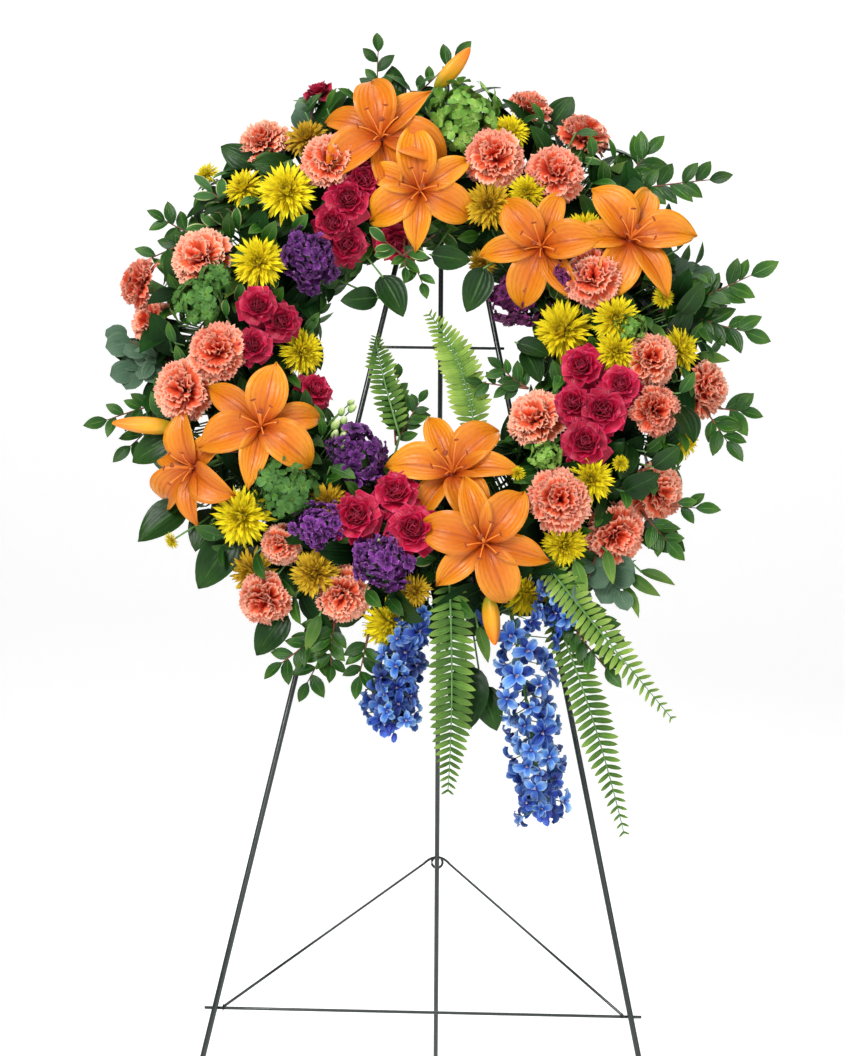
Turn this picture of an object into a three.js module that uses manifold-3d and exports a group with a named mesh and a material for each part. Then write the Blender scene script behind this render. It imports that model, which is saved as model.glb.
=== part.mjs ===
// Standing funeral wreath: a foam ring dressed with cut flowers, tied to a folding wire easel.
// Millimetres, +Z up, front towards -Y. The origin is on the floor, below the middle of the whole piece.
import * as THREE from 'three';
import { mergeVertices } from 'three/addons/utils/BufferGeometryUtils.js';
import Module from 'manifold-3d';

const wasm = await Module();
wasm.setup();

// ---------------------------------------------------------------- driving dimensions
const FIT = 0.4; // clearance between neighbouring pieces
const SLIVER = 0.05; // detail finer than this is smoothed away where pieces were cut to fit

const EASEL = {
  apexHeight: 1314,
  lean: THREE.MathUtils.degToRad(12), // the front frame leans back by this much
  spread: 0.2085, // sideways run of a front leg for each millimetre down its length
  legRadius: 3.175, // quarter-inch rod
  rearLegRadius: 3,
  bendDrop: 26, // the bent top joins the straight legs this far below the apex
  barRadius: 1.75,
  hingeRadius: 2.4,
  eyeRadius: 2.6, // wire radius of the eye that the rear leg turns on
  braceRadius: 1.25,
  tieRadius: 0.9,
  rearFootSetback: 326,
  hingeDrop: 60,
  upperBarDrop: 343,
  lowerBarDrop: 1116,
  upperBarLength: 159,
  lowerBarLength: 490,
  braceEyeSpan: 448,
  braceSetback: 238, // where the brace meets the open rear leg
  braceHeight: 336,
};

const RING = {
  centreDrop: 370, // from the apex, down the front frame
  centreShift: -10,
  radius: 220,
  foamWidth: 84,
  foamDepth: 50,
  trayDepth: 16,
  trayWall: 3,
  coreLift: 28, // height of the ring's core circle above the easel's front face
};

const HEAD_DISTANCE = 95; // from the core circle to the middle of a bloom
const LILY_RISE = 14; // lilies stand this much further out
const STEM_FOOT = 14; // from the core circle to the cut end of a stem, inside the foam
const STEM_RADIUS = 2.4;
const FORK_DISTANCE = 60; // where the stems of one spray come together
const LEAST_TILT = THREE.MathUtils.degToRad(20); // the outermost blooms still look forward a little
const FRONT_SHARE = 0.45; // how far a bloom turns from its stem's direction towards the front
const PETAL_HALF = 1.7; // half the thickness of a lily's petals

const COLOURS = {
  paint: 0x1e2622, wire: 0x8a8d88, tray: 0x1f4a2c, foam: 0x2f6a3c,
  lily: 0xf39423, carnation: 0xf0785f, mum: 0xf5dc1e, rose: 0xbe144b,
  stock: 0x5a197d, hydrangea: 0x6ea53c, delphinium: 0x2d5ac8,
  fern: 0x5a9637, huckleberry: 0x285f2d,
};

// ---------------------------------------------------------------- the planting plan
// A bloom is [clock angle in degrees, reach from the ring's centre, diameter].
// A lily adds the turn of its first petal, and may carry a bud from one [clock, reach, lift] to another.
const LILIES = {
  lily_top: { bloom: [347, 250, 140], turn: 0, bud: [[1, 312, 96], [7, 356, 112]] },
  lily_top_inner: { bloom: [357, 177, 130], turn: 0 },
  lily_right_inner: { bloom: [49, 171, 132], turn: 35 },
  lily_right_outer: { bloom: [62, 266, 136], turn: 22 },
  lily_left_inner: { bloom: [240, 209, 136], turn: 10 },
  lily_left_outer: { bloom: [241, 305, 124], turn: -5, bud: [[251, 300, 80], [255, 366, 88]] },
  lily_bottom_inner: { bloom: [167, 150, 136], turn: -10 },
  lily_bottom: { bloom: [163, 246, 138], turn: 0, bud: [[165, 300, 92], [166, 352, 84]] },
};

const CARNATIONS = {
  carnations_top_left: [[322, 322, 60], [332, 240, 66]],
  carnations_left_edge: [[291, 280, 66], [283, 344, 60], [276, 322, 52]],
  carnations_left: [[266, 236, 62], [258, 280, 68]],
  carnations_top_right: [[19, 231, 64], [36, 248, 62]],
  carnations_top_edge: [[21, 322, 54], [34, 322, 62]],
  carnation_right_upper: [[68, 203, 66]],
  carnations_right_inner: [[123, 151, 64], [140, 240, 66]],
  carnations_right: [[94, 257, 58], [106, 273, 58], [97, 324, 62]],
  carnations_lower_right: [[121, 311, 64], [134, 306, 68]],
  carnations_lower_left: [[214, 288, 44], [197, 302, 60], [211, 344, 58]],
};

const MUMS = {
  mums_top_left: [[317, 238, 68], [311, 285, 48], [330, 288, 52]],
  mums_left: [[295, 211, 62], [268, 141, 54]],
  mums_lower_left: [[225, 288, 70], [216, 325, 58]],
  mums_bottom: [[204, 292, 56], [186, 322, 66], [181, 286, 36]],
  mums_top_right: [[20, 272, 44], [23, 178, 58], [33, 209, 44], [55, 220, 54]],
  mums_right: [[83, 157, 70], [83, 217, 54], [93, 217, 50]],
  mums_right_edge: [[90, 292, 50], [108, 312, 50]],
  mums_lower_right: [[130, 248, 52], [145, 282, 50], [157, 307, 54]],
};

const ROSES = {
  roses_top: [[339, 202, 44], [331, 190, 48], [322, 177, 40], [322, 152, 44], [344, 136, 42]],
  roses_left: [[281, 194, 42], [278, 167, 40], [267, 194, 38], [249, 135, 38]],
  roses_right: [[99, 181, 48], [103, 228, 42], [113, 184, 42], [112, 218, 50], [123, 218, 50]],
  roses_bottom: [[199, 219, 52], [189, 180, 50], [182, 221, 52]],
};

const STOCK = {
  stock_upper_left: [[306, 167, 66]],
  stock_right: [[56, 124, 62]],
  stock_lower_left: [[210, 150, 60], [208, 245, 54]],
  stock_bottom: [[189, 257, 64]],
};

const HYDRANGEAS = {
  hydrangea_top: [[8, 274, 84]],
  hydrangea_lower_left: [[221, 232, 70]],
};

// A spike runs from its first [clock, reach, lift] to its second, with a diameter at each end.
const DELPHINIUMS = {
  delphinium_left: { from: [182, 304, 66], to: [184, 434, 58], wide: 62, narrow: 50, florets: 6 },
  delphinium_right: { from: [160, 300, 66], to: [165, 552, 36], wide: 62, narrow: 44, florets: 12 },
};

// A frond runs from its base through its middle to its tip, all [clock, reach, lift].
const FERNS = {
  fern_eye_right: { base: [150, 116, 80], middle: [107, 52, 88], tip: [3, 46, 66], width: 44 },
  fern_eye_left: { base: [195, 106, 78], middle: [245, 58, 84], tip: [288, 62, 62], width: 32 },
  fern_bottom: { base: [173, 268, 98], middle: [174, 402, 92], tip: [176, 507, 60], width: 48 },
  fern_lower_right: { base: [151, 276, 86], middle: [149, 371, 104], tip: [146, 508, 70], width: 34 },
  fern_lowest: { base: [153, 318, 40], middle: [154, 442, 70], tip: [157, 595, 44], width: 38 },
};

// A sprig is a branch with twigs; every twig ends at a [clock, reach, lift].
const SPRIGS = {
  huckleberry_top: { root: [348, 285], twigs: [[350, 376, 60], [4, 368, 52]] },
  huckleberry_upper_right: { root: [47, 290], twigs: [[46, 352, 62], [57, 388, 70]] },
  huckleberry_right: { root: [78, 288], twigs: [[76, 384, 80], [85, 368, 58]] },
  huckleberry_left: { root: [259, 292], twigs: [[257, 392, 62], [252, 366, 44]] },
};

// ---------------------------------------------------------------- solids and booleans
const UP = new THREE.Vector3(0, 0, 1);

/** Turns a closed geometry into a manifold solid. */
function solidOf(geometry) {
  const bare = geometry.clone();
  bare.deleteAttribute('normal');
  bare.deleteAttribute('uv');
  const merged = mergeVertices(bare, 1e-3);
  const source = merged.index.array;
  const corners = [];
  for (let i = 0; i < source.length; i += 3) {
    const [a, b, c] = [source[i], source[i + 1], source[i + 2]];
    if (a !== b && b !== c && c !== a) corners.push(a, b, c);
  }
  const vertProperties = new Float32Array(merged.attributes.position.array);
  return new wasm.Manifold(new wasm.Mesh({ numProp: 3, vertProperties, triVerts: new Uint32Array(corners) }));
}

/** Turns a manifold solid back into a geometry. */
function geometryOf(solid) {
  const mesh = solid.getMesh();
  const geometry = new THREE.BufferGeometry();
  geometry.setAttribute('position', new THREE.BufferAttribute(mesh.vertProperties, 3));
  geometry.setIndex(new THREE.BufferAttribute(mesh.triVerts, 1));
  geometry.computeVertexNormals();
  return geometry;
}

/** Joins geometries into one solid. */
function join(geometries) {
  return geometries.map(solidOf).reduce((whole, piece) => whole.add(piece));
}

/** The largest body of a solid that a cut may have left in pieces, without slivers. */
function largestBody(solid) {
  const body = solid.decompose().reduce((best, piece) => (piece.volume() > best.volume() ? piece : best));
  return body.simplify(SLIVER);
}

// ---------------------------------------------------------------- shapes shared by the sub-parts
/** A straight round rod between two points, `longer` by that much at each end. */
function rod(from, to, radius, sides = 8, longer = 0) {
  const run = to.clone().sub(from);
  const geometry = new THREE.CylinderGeometry(radius, radius, run.length() + 2 * longer, sides);
  geometry.rotateX(Math.PI / 2);
  return aimed(geometry, from.clone().addScaledVector(run, 0.5), run);
}

/** A round wire along a smooth curve through the given points. */
function wire(points, radius, steps, sides = 8) {
  const section = new THREE.Shape();
  for (let i = 0; i < sides; i += 1) {
    const angle = (i / sides) * 2 * Math.PI;
    const corner = [radius * Math.cos(angle), radius * Math.sin(angle)];
    if (i === 0) section.moveTo(...corner);
    else section.lineTo(...corner);
  }
  const extrudePath = new THREE.CatmullRomCurve3(points, false, 'centripetal');
  return new THREE.ExtrudeGeometry(section, { steps, extrudePath, bevelEnabled: false });
}

/** Turns a geometry's +Z axis to a direction and moves its origin to a place. */
function aimed(geometry, place, direction) {
  geometry.applyQuaternion(new THREE.Quaternion().setFromUnitVectors(UP, direction.clone().normalize()));
  geometry.translate(place.x, place.y, place.z);
  return geometry;
}

/** A round shape about +Z from [radius, height] points; `ruffle` waves its rim. */
function turned(profile, sides, ruffle = 0) {
  const points = profile.map(([radius, height]) => new THREE.Vector2(radius, height));
  const geometry = new THREE.LatheGeometry(points, sides);
  geometry.rotateX(Math.PI / 2);
  const position = geometry.attributes.position;
  for (let i = 0; i < position.count; i += 1) {
    const angle = Math.atan2(position.getY(i), position.getX(i));
    const scale = 1 + ruffle * Math.cos((angle * sides) / 2);
    position.setXY(i, position.getX(i) * scale, position.getY(i) * scale);
  }
  return geometry;
}

/**
 * A frond: a thin slab bent along a curve, with a half-width for each share of its length.
 * `across` points to its right-hand side.
 */
function blade({ curve, across, halfWidth, thickness, steps }) {
  const geometry = new THREE.BoxGeometry(2, 1, 1, 1, steps, 1);
  const position = geometry.attributes.position;
  const point = new THREE.Vector3();
  for (let i = 0; i < position.count; i += 1) {
    const side = position.getX(i);
    const along = position.getY(i) + 0.5;
    const face = position.getZ(i) * thickness;
    const tangent = curve.getTangent(along);
    const normal = new THREE.Vector3().crossVectors(across, tangent).normalize();
    const width = halfWidth(along);
    curve.getPoint(along, point);
    point.addScaledVector(across, side * width);
    point.addScaledVector(normal, face);
    position.setXYZ(i, point.x, point.y, point.z);
  }
  return geometry;
}

// ---------------------------------------------------------------- places on the ring
const radians = THREE.MathUtils.degToRad;

/** The point at a clock angle, a reach from the ring's centre and a lift off the easel. */
function spot([clock, reach, lift = RING.coreLift]) {
  return new THREE.Vector3(reach * Math.sin(radians(clock)), reach * Math.cos(radians(clock)), lift);
}

/** Where a bloom sits: the core point below it, its stem's direction, its middle and the way it faces. */
function seat([clock, reach], distance = HEAD_DISTANCE) {
  const outward = reach - RING.radius;
  const level = Math.cos(LEAST_TILT) * distance;
  const stand = Math.abs(outward) > level ? Math.abs(outward) / Math.cos(LEAST_TILT) : distance;
  const aim = spot([clock, outward, Math.sqrt(stand ** 2 - outward ** 2)]).normalize();
  const core = spot([clock, RING.radius]);
  const facing = aim.clone().lerp(UP, FRONT_SHARE).normalize();
  return { core, aim, facing, head: core.clone().addScaledVector(aim, stand) };
}

/** Stems that start under each head, meet above the foam and go into it as one. */
function stems(heads, grow) {
  const core = spot([meanClock(heads.map((head) => head.clock)), RING.radius]);
  const middle = heads.reduce((sum, { base }) => sum.add(base), new THREE.Vector3()).divideScalar(heads.length);
  const aim = middle.sub(core).normalize();
  const foot = core.clone().addScaledVector(aim, STEM_FOOT);
  if (heads.length === 1) return [rod(foot, heads[0].base, STEM_RADIUS + grow, 4, grow)];
  const fork = core.clone().addScaledVector(aim, FORK_DISTANCE);
  const arms = heads.map(({ base }) => rod(fork, base, STEM_RADIUS + grow, 4, grow));
  return [rod(foot, fork.clone().addScaledVector(aim, 1), STEM_RADIUS + grow, 4, grow), ...arms];
}

/** The middle of some clock angles, which may straddle twelve o'clock. */
function meanClock(clocks) {
  const sum = clocks.reduce((total, clock) => total.add(spot([clock, 1, 0])), new THREE.Vector3());
  return THREE.MathUtils.radToDeg(Math.atan2(sum.x, sum.y));
}

// ---------------------------------------------------------------- flower heads, each about +Z
/** A carnation: a slim calyx under a ruffled dome. */
function carnationHead(size, grow) {
  const r = size / 2 + grow;
  const low = -grow;
  const high = grow;
  return turned([
    [0, -0.62 * size + low], [0.12 * size + grow, -0.6 * size + low], [0.16 * size + grow, -0.2 * size + low],
    [r, 0.04 * size], [0.8 * r, 0.22 * size + high], [0, 0.33 * size + high],
  ], 10, 0.07);
}

/** A spray chrysanthemum: a shallow head of rays on a small cup. */
function mumHead(size, grow) {
  const r = size / 2 + grow;
  return turned([
    [0, -0.22 * size - grow], [0.14 * size + grow, -0.2 * size - grow],
    [r + grow, 0.04 * size], [0.62 * r, 0.16 * size + grow], [0, 0.2 * size + grow],
  ], 12, 0.07);
}

/** A spray rose: a rounded cup with a closed heart. */
function roseHead(size, grow) {
  const r = size / 2 + grow;
  return turned([
    [0, -0.5 * size - grow], [0.1 * size + grow, -0.46 * size - grow], [0.74 * r, -0.22 * size - grow],
    [r, 0.08 * size], [0.66 * r, 0.32 * size + grow], [0, 0.34 * size + grow],
  ], 8);
}

/** A rounded cluster of small flowers: a ball with a raised floret at every first corner. */
function clusterHead(size, grow) {
  const ball = new THREE.IcosahedronGeometry(1, 1);
  const corners = new THREE.IcosahedronGeometry(1, 0).attributes.position;
  const position = ball.attributes.position;
  const point = new THREE.Vector3();
  const corner = new THREE.Vector3();
  for (let i = 0; i < position.count; i += 1) {
    point.fromBufferAttribute(position, i);
    let nearest = 2;
    for (let k = 0; k < corners.count; k += 1) {
      nearest = Math.min(nearest, point.distanceTo(corner.fromBufferAttribute(corners, k)));
    }
    point.multiplyScalar((nearest < 0.1 ? 0.52 : 0.42) * size + grow);
    position.setXYZ(i, point.x, point.y, point.z * 0.85);
  }
  return ball;
}

/** How far a lily's outline reaches at an angle from its first petal: 1 at a tip, less between petals. */
function lilyOutline(angle) {
  const lobe = Math.abs(Math.cos(3 * angle));
  return 0.4 + 0.6 * lobe ** 1.4;
}

/** A lily: a funnel of six recurved petals around a pistil. */
function lilyHead(size, grow, turn) {
  const half = size / 2;
  const columns = 24;
  const height = (share) => {
    const rise = Math.sin(Math.PI * Math.min(1, share * 0.93) ** 0.75);
    return size * (0.17 * rise - 0.04 * share ** 3);
  };
  const shares = [0.15, 0.6, 1];
  const upper = shares.map((share) => [share * half, grow + PETAL_HALF]).reverse();
  const lower = shares.map((share) => [share * half, -grow - PETAL_HALF]);
  const flower = turned([[0, -0.28 * size - grow], [0.05 * half, -0.27 * size - grow], ...lower, ...upper,
    [0, -0.08 * size + grow]], columns);
  const position = flower.attributes.position;
  for (let i = 0; i < position.count; i += 1) {
    const reach = Math.hypot(position.getX(i), position.getY(i));
    if (reach < 0.1 * half) continue;
    const angle = Math.atan2(position.getX(i), position.getY(i));
    const share = reach / half;
    const outline = 1 + (lilyOutline(angle) - 1) * share;
    const scale = outline + (share === 1 ? grow / reach : 0);
    position.setXYZ(i, position.getX(i) * scale, position.getY(i) * scale,
      position.getZ(i) + height(share * outline) - 0.1 * size * (1 - share));
  }
  flower.rotateZ(-radians(turn));
  const [low, high] = [new THREE.Vector3(0, 0, -0.1 * size), new THREE.Vector3(0, 0, 0.17 * size + grow)];
  return [flower, rod(low, high, 1.8 + grow, 5)];
}

// ---------------------------------------------------------------- sprays: heads with their stems
const HEAD_KINDS = {
  carnation: { build: (size, grow) => [carnationHead(size, grow)], neck: 0.55 },
  mum: { build: (size, grow) => [mumHead(size, grow)], neck: 0.15 },
  rose: { build: (size, grow) => [roseHead(size, grow)], neck: 0.42 },
  cluster: { build: (size, grow) => [clusterHead(size, grow)], neck: 0.25 },
};

/** One bloom or several of a kind, on stems that meet in the foam. */
function spray(kind, blooms) {
  const { build, neck } = HEAD_KINDS[kind];
  return (grow) => {
    const seats = blooms.map((bloom) => ({ ...seat(bloom), size: bloom[2], clock: bloom[0] }));
    const heads = seats.flatMap(({ facing, head, size }) =>
      build(size, grow).map((piece) => aimed(piece, head, facing)));
    const bases = seats.map(({ facing, head, size, clock }) =>
      ({ clock, base: head.clone().addScaledVector(facing, -neck * size) }));
    return join([...heads, ...stems(bases, grow)]);
  };
}

/** A lily on its own stem, with a bud beside it where it has one. */
function lily({ bloom, turn, bud }) {
  return (grow) => {
    const [clock, , size] = bloom;
    const { core, aim, facing, head } = seat(bloom, HEAD_DISTANCE + LILY_RISE);
    const foot = core.clone().addScaledVector(aim, STEM_FOOT);
    const neck = head.clone().addScaledVector(facing, -0.27 * size);
    const pieces = lilyHead(size, grow, turn + clock).map((piece) => aimed(piece, head, facing));
    pieces.push(rod(foot, neck, STEM_RADIUS + grow, 4, grow));
    if (bud) {
      const [base, tip] = bud.map(spot);
      const length = base.distanceTo(tip);
      const shape = turned([[0, -grow], [4 + grow, 0], [9.5 + grow, 0.35 * length],
        [8 + grow, 0.75 * length], [0, length + grow]], 6);
      const start = core.clone().addScaledVector(aim, FORK_DISTANCE);
      pieces.push(aimed(shape, base, tip.clone().sub(base)));
      pieces.push(rod(start, base.clone().lerp(tip, 0.1), STEM_RADIUS + grow, 4, grow));
    }
    return join(pieces);
  };
}

/** A tapering spike of small flowers that leaves the ring and hangs below it. */
function spike({ from, to, wide, narrow, florets }) {
  return (grow) => {
    const [start, end] = [spot(from), spot(to)];
    const core = spot([from[0], RING.radius]);
    const foot = core.clone().addScaledVector(start.clone().sub(core).normalize(), STEM_FOOT);
    const length = start.distanceTo(end);
    const profile = [[0, -0.2 * wide - grow]];
    for (let i = 0; i <= florets; i += 1) {
      const along = i / florets;
      const radius = THREE.MathUtils.lerp(wide, narrow, along) / 2;
      profile.push([radius * (i % 2 ? 0.72 : 1) + grow, along * length]);
    }
    profile.push([0, length + 0.3 * narrow + grow]);
    const flowers = aimed(turned(profile, 8, 0.09), start, end.clone().sub(start));
    return join([rod(foot, start, STEM_RADIUS + grow, 4, grow), flowers]);
  };
}

/** A sword fern frond with toothed sides, on a stalk that goes into the foam. */
function fern({ base, middle, tip, width }) {
  const teeth = 9;
  return (grow) => {
    const points = [spot(base), spot(middle), spot(tip)];
    const curve = new THREE.QuadraticBezierCurve3(points[0], points[1], points[2]);
    const across = points[2].clone().sub(points[0]).cross(UP).normalize().negate();
    const halfWidth = (v) => {
      const tooth = Math.round(v * teeth * 2) % 2 ? 1 : 0.62;
      return (width / 2) * tooth * Math.min(1, (1.08 - v) * 2.1, 0.45 + v * 3) + grow;
    };
    const leaf = blade({ curve, across, halfWidth, thickness: 2 + 2 * grow, steps: teeth * 2 });
    const core = spot([base[0], RING.radius]);
    const foot = core.clone().addScaledVector(points[0].clone().sub(core).normalize(), STEM_FOOT);
    const into = curve.getPoint(0.05);
    return join([leaf, rod(foot, into, STEM_RADIUS - 0.6 + grow, 4, grow)]);
  };
}

/** A branch of small oval leaves with a twig to each of its ends. */
function sprig({ root, twigs }) {
  const leafPairs = 3;
  return (grow) => {
    const core = spot([root[0], RING.radius]);
    const fork = spot([root[0], root[1], RING.coreLift + 26]);
    const foot = core.clone().addScaledVector(fork.clone().sub(core).normalize(), STEM_FOOT);
    const pieces = [rod(foot, fork, STEM_RADIUS - 0.4 + grow, 4, grow)];
    for (const twig of twigs) {
      const end = spot(twig);
      const run = end.clone().sub(fork);
      const length = run.length();
      const ahead = run.clone().normalize();
      const side = ahead.clone().cross(UP).normalize();
      pieces.push(rod(fork, end, 1.6 + grow, 4, grow));
      for (let i = 0; i < 2 * leafPairs + 1; i += 1) {
        const last = i === 2 * leafPairs;
        const hand = last ? 0 : (i % 2) * 2 - 1;
        const start = fork.clone().lerp(end, last ? 0.96 : 0.24 + (0.66 * i) / (2 * leafPairs));
        const heading = ahead.clone().addScaledVector(side, hand * 1.1).addScaledVector(UP, 0.3).normalize();
        const size = THREE.MathUtils.clamp(0.3 * length, 20, 28);
        const leaf = new THREE.OctahedronGeometry(1);
        leaf.scale(1.2 + grow, 0.3 * size + grow, size / 2 + grow);
        pieces.push(aimed(leaf, start.addScaledVector(heading, size / 2 - 1), heading));
      }
    }
    return join(pieces);
  };
}

// ---------------------------------------------------------------- the ring and its ties
/** The foam: a broad ring with a rounded front, before the stems are pushed in. */
function foamRing() {
  const half = RING.foamWidth / 2;
  const back = RING.trayWall + FIT;
  const top = back + RING.foamDepth;
  const inner = RING.radius - half;
  const outer = RING.radius + half;
  const bevel = 16;
  return solidOf(turned([
    [inner, back], [outer, back], [outer, top - bevel], [outer - bevel, top],
    [inner + bevel, top], [inner, top - bevel], [inner, back],
  ], 32));
}

/** The plastic tray that holds the foam: a ring-shaped gutter. */
function ringTray() {
  const half = RING.foamWidth / 2 + FIT;
  const wall = RING.trayWall;
  const inner = RING.radius - half;
  const outer = RING.radius + half;
  const bottom = FIT;
  return solidOf(turned([
    [inner - wall, bottom], [outer + wall, bottom], [outer + wall, RING.trayDepth], [outer, RING.trayDepth],
    [outer, bottom + wall - FIT], [inner, bottom + wall - FIT], [inner, RING.trayDepth],
    [inner - wall, RING.trayDepth], [inner - wall, bottom],
  ], 32));
}

/** A binding wire around the ring and the leg behind it, with its two ends twisted at the back. */
function tieWire(clock) {
  const r = EASEL.tieRadius;
  const half = RING.foamWidth / 2 + RING.trayWall + FIT * 2 + r + 2;
  const front = RING.trayWall + RING.foamDepth + FIT * 2 + r + 1;
  const back = -2 * EASEL.legRadius - FIT * 3 - r - 1.5;
  const core = RING.radius;
  const across = (reach, lift) => spot([clock, reach, lift]);
  return solidOf(wire([
    across(core - 6, back - 14), across(core - 5, back - 1), across(core - half * 0.7, back + 2),
    across(core - half, 4), across(core - half, front - 16), across(core - half + 16, front),
    across(core + half - 16, front), across(core + half, front - 16), across(core + half, 4),
    across(core + half * 0.7, back + 2), across(core + 5, back - 1), across(core + 6, back - 14),
  ], r, 30, 5));
}

/** The wire hanger from the easel's apex around the top of the ring. */
function hangerWire() {
  const r = EASEL.tieRadius;
  const half = RING.foamWidth / 2 + RING.trayWall + FIT * 2 + r + 2;
  const front = RING.trayWall + RING.foamDepth + FIT * 2 + r + 1;
  const x = -RING.centreShift;
  const apex = RING.centreDrop + 6;
  const at = (y, z, aside = 0) => new THREE.Vector3(x + aside, y, z);
  return solidOf(wire([
    at(apex - 20, -17), at(apex - 6, -12), at(apex + 1.5, -3), at(apex - 4, 5), at(RING.radius + half + 30, 24),
    at(RING.radius + half, front - 14), at(RING.radius + half - 18, front), at(RING.radius - half + 18, front),
    at(RING.radius - half, front - 16), at(RING.radius - half - 2, 2, 5), at(RING.radius - half + 8, -5, 12),
    at(RING.radius - half + 34, -5, 16),
  ], r, 34, 5));
}

// ---------------------------------------------------------------- the easel
/** Where the front frame's own [across, up, out] coordinates lie in the world. */
function framePoint(x, y, z) {
  const tilt = Math.PI / 2 - EASEL.lean;
  const up = y * Math.sin(tilt) + z * Math.cos(tilt);
  return new THREE.Vector3(x, y * Math.cos(tilt) - z * Math.sin(tilt), EASEL.apexHeight + up);
}

/** Slides the lower end of a leg along its own direction until it is flat on the floor. */
function cutAtFloor(geometry, direction) {
  const position = geometry.attributes.position;
  for (let i = 0; i < position.count; i += 1) {
    if (position.getZ(i) > 60) continue;
    const travel = -position.getZ(i) / direction.z;
    position.setXYZ(i, position.getX(i) + travel * direction.x, position.getY(i) + travel * direction.y, 0);
  }
  return geometry;
}

/** One front leg, `side` -1 for the left and 1 for the right. */
function frontLeg(side) {
  const drop = EASEL.apexHeight / Math.cos(EASEL.lean);
  const top = framePoint(side * EASEL.spread * EASEL.bendDrop, -EASEL.bendDrop, 0);
  const foot = framePoint(side * EASEL.spread * drop, -drop, 0);
  const direction = foot.clone().sub(top).normalize();
  return solidOf(cutAtFloor(rod(top, foot, EASEL.legRadius, 12), direction));
}

/** The bend at the top of the front frame, between the two legs. */
function apexBend() {
  const points = [];
  for (const side of [-1, 1]) {
    for (const share of side < 0 ? [1, 0.6, 0.25] : [0.25, 0.6, 1]) {
      const wide = side * EASEL.spread * EASEL.bendDrop * Math.sqrt(share);
      points.push(framePoint(wide, -EASEL.bendDrop * share + FIT, 0));
    }
  }
  points[0] = framePoint(-EASEL.spread * EASEL.bendDrop, -EASEL.bendDrop + FIT, 0);
  points.splice(3, 0, framePoint(0, 1, 0));
  return solidOf(wire(points, EASEL.legRadius, 12, 10));
}

/** A cross bar on the back of the two front legs. */
function crossBar(drop, length) {
  const back = -(EASEL.legRadius + EASEL.barRadius + FIT);
  const [left, right] = [-1, 1].map((side) => framePoint((side * length) / 2, -drop, back));
  return solidOf(rod(left, right, EASEL.barRadius, 10));
}

/** The short bar between the legs that the rear leg turns on. */
function hingeBar() {
  const lean = Math.atan(EASEL.spread);
  const half = EASEL.spread * EASEL.hingeDrop - EASEL.legRadius / Math.cos(lean) - FIT - 0.2;
  const [left, right] = [-1, 1].map((side) => framePoint(side * half, -EASEL.hingeDrop, 0));
  return solidOf(rod(left, right, EASEL.hingeRadius, 12));
}

/** A ring of wire about the X axis. */
function wireEye(centre, bore, radius, sides = 12) {
  const middle = bore + radius;
  const wireSides = 6;
  const profile = [];
  for (let i = 0; i < wireSides; i += 1) {
    const angle = (i / wireSides) * 2 * Math.PI;
    profile.push([middle + radius * Math.cos(angle), radius * Math.sin(angle)]);
  }
  profile.push(profile[0]);
  const geometry = turned(profile, sides);
  geometry.rotateY(Math.PI / 2);
  return geometry.translate(centre.x, centre.y, centre.z);
}

/** The rear leg: a rod with an eye around the hinge bar. */
function rearLeg() {
  const hinge = framePoint(0, -EASEL.hingeDrop, 0);
  const foot = new THREE.Vector3(0, EASEL.rearFootSetback, 0);
  const direction = foot.clone().sub(hinge).normalize();
  const bore = EASEL.hingeRadius + FIT;
  const start = hinge.clone().addScaledVector(direction, bore + 1.6);
  return join([
    cutAtFloor(rod(start, foot, EASEL.rearLegRadius, 12), direction),
    wireEye(hinge, bore, EASEL.eyeRadius),
  ]);
}

/** The spreader: a bent wire from the lower cross bar to the back of the rear leg, with a curl at its top. */
function spreaderBrace() {
  const r = EASEL.braceRadius;
  const back = -(EASEL.legRadius + EASEL.barRadius + FIT);
  const apex = new THREE.Vector3(0, EASEL.braceSetback + EASEL.rearLegRadius + r + 1.2, EASEL.braceHeight);
  const pieces = [];
  const eyes = [-1, 1].map((side) => framePoint((side * EASEL.braceEyeSpan) / 2, -EASEL.lowerBarDrop, back));
  for (const eye of eyes) {
    pieces.push(wireEye(eye, EASEL.barRadius + 0.4, r, 10));
  }
  const [left, right] = eyes.map((eye) => {
    const run = apex.clone().sub(eye).setX(0).normalize();
    return eye.clone().addScaledVector(run, EASEL.barRadius + 0.4 + r);
  });
  const shoulder = (side) => apex.clone().add(new THREE.Vector3(side * 17, -14, -7));
  pieces.push(wire([left, left.clone().lerp(shoulder(-1), 0.5), shoulder(-1), apex.clone().setX(-5), apex,
    apex.clone().setX(5), shoulder(1), right.clone().lerp(shoulder(1), 0.5), right], r, 20, 5));
  const curl = [];
  for (let i = 0; i <= 10; i += 1) {
    const angle = (i / 10) * 1.72 * Math.PI;
    curl.push(new THREE.Vector3(-7 * Math.sin(angle), 0.3 * i, -7 + 7 * Math.cos(angle)).add(apex));
  }
  pieces.push(wire(curl, r, 10, 6));
  return join(pieces);
}

// ---------------------------------------------------------------- assembly
/** A named mesh of a solid in its own painted or living colour. */
function node(name, solid, colour, roughness = 0.7, metalness = 0) {
  const material = new THREE.MeshStandardMaterial({ color: colour, roughness, metalness });
  const mesh = new THREE.Mesh(geometryOf(solid), material);
  mesh.name = name;
  return mesh;
}

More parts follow.
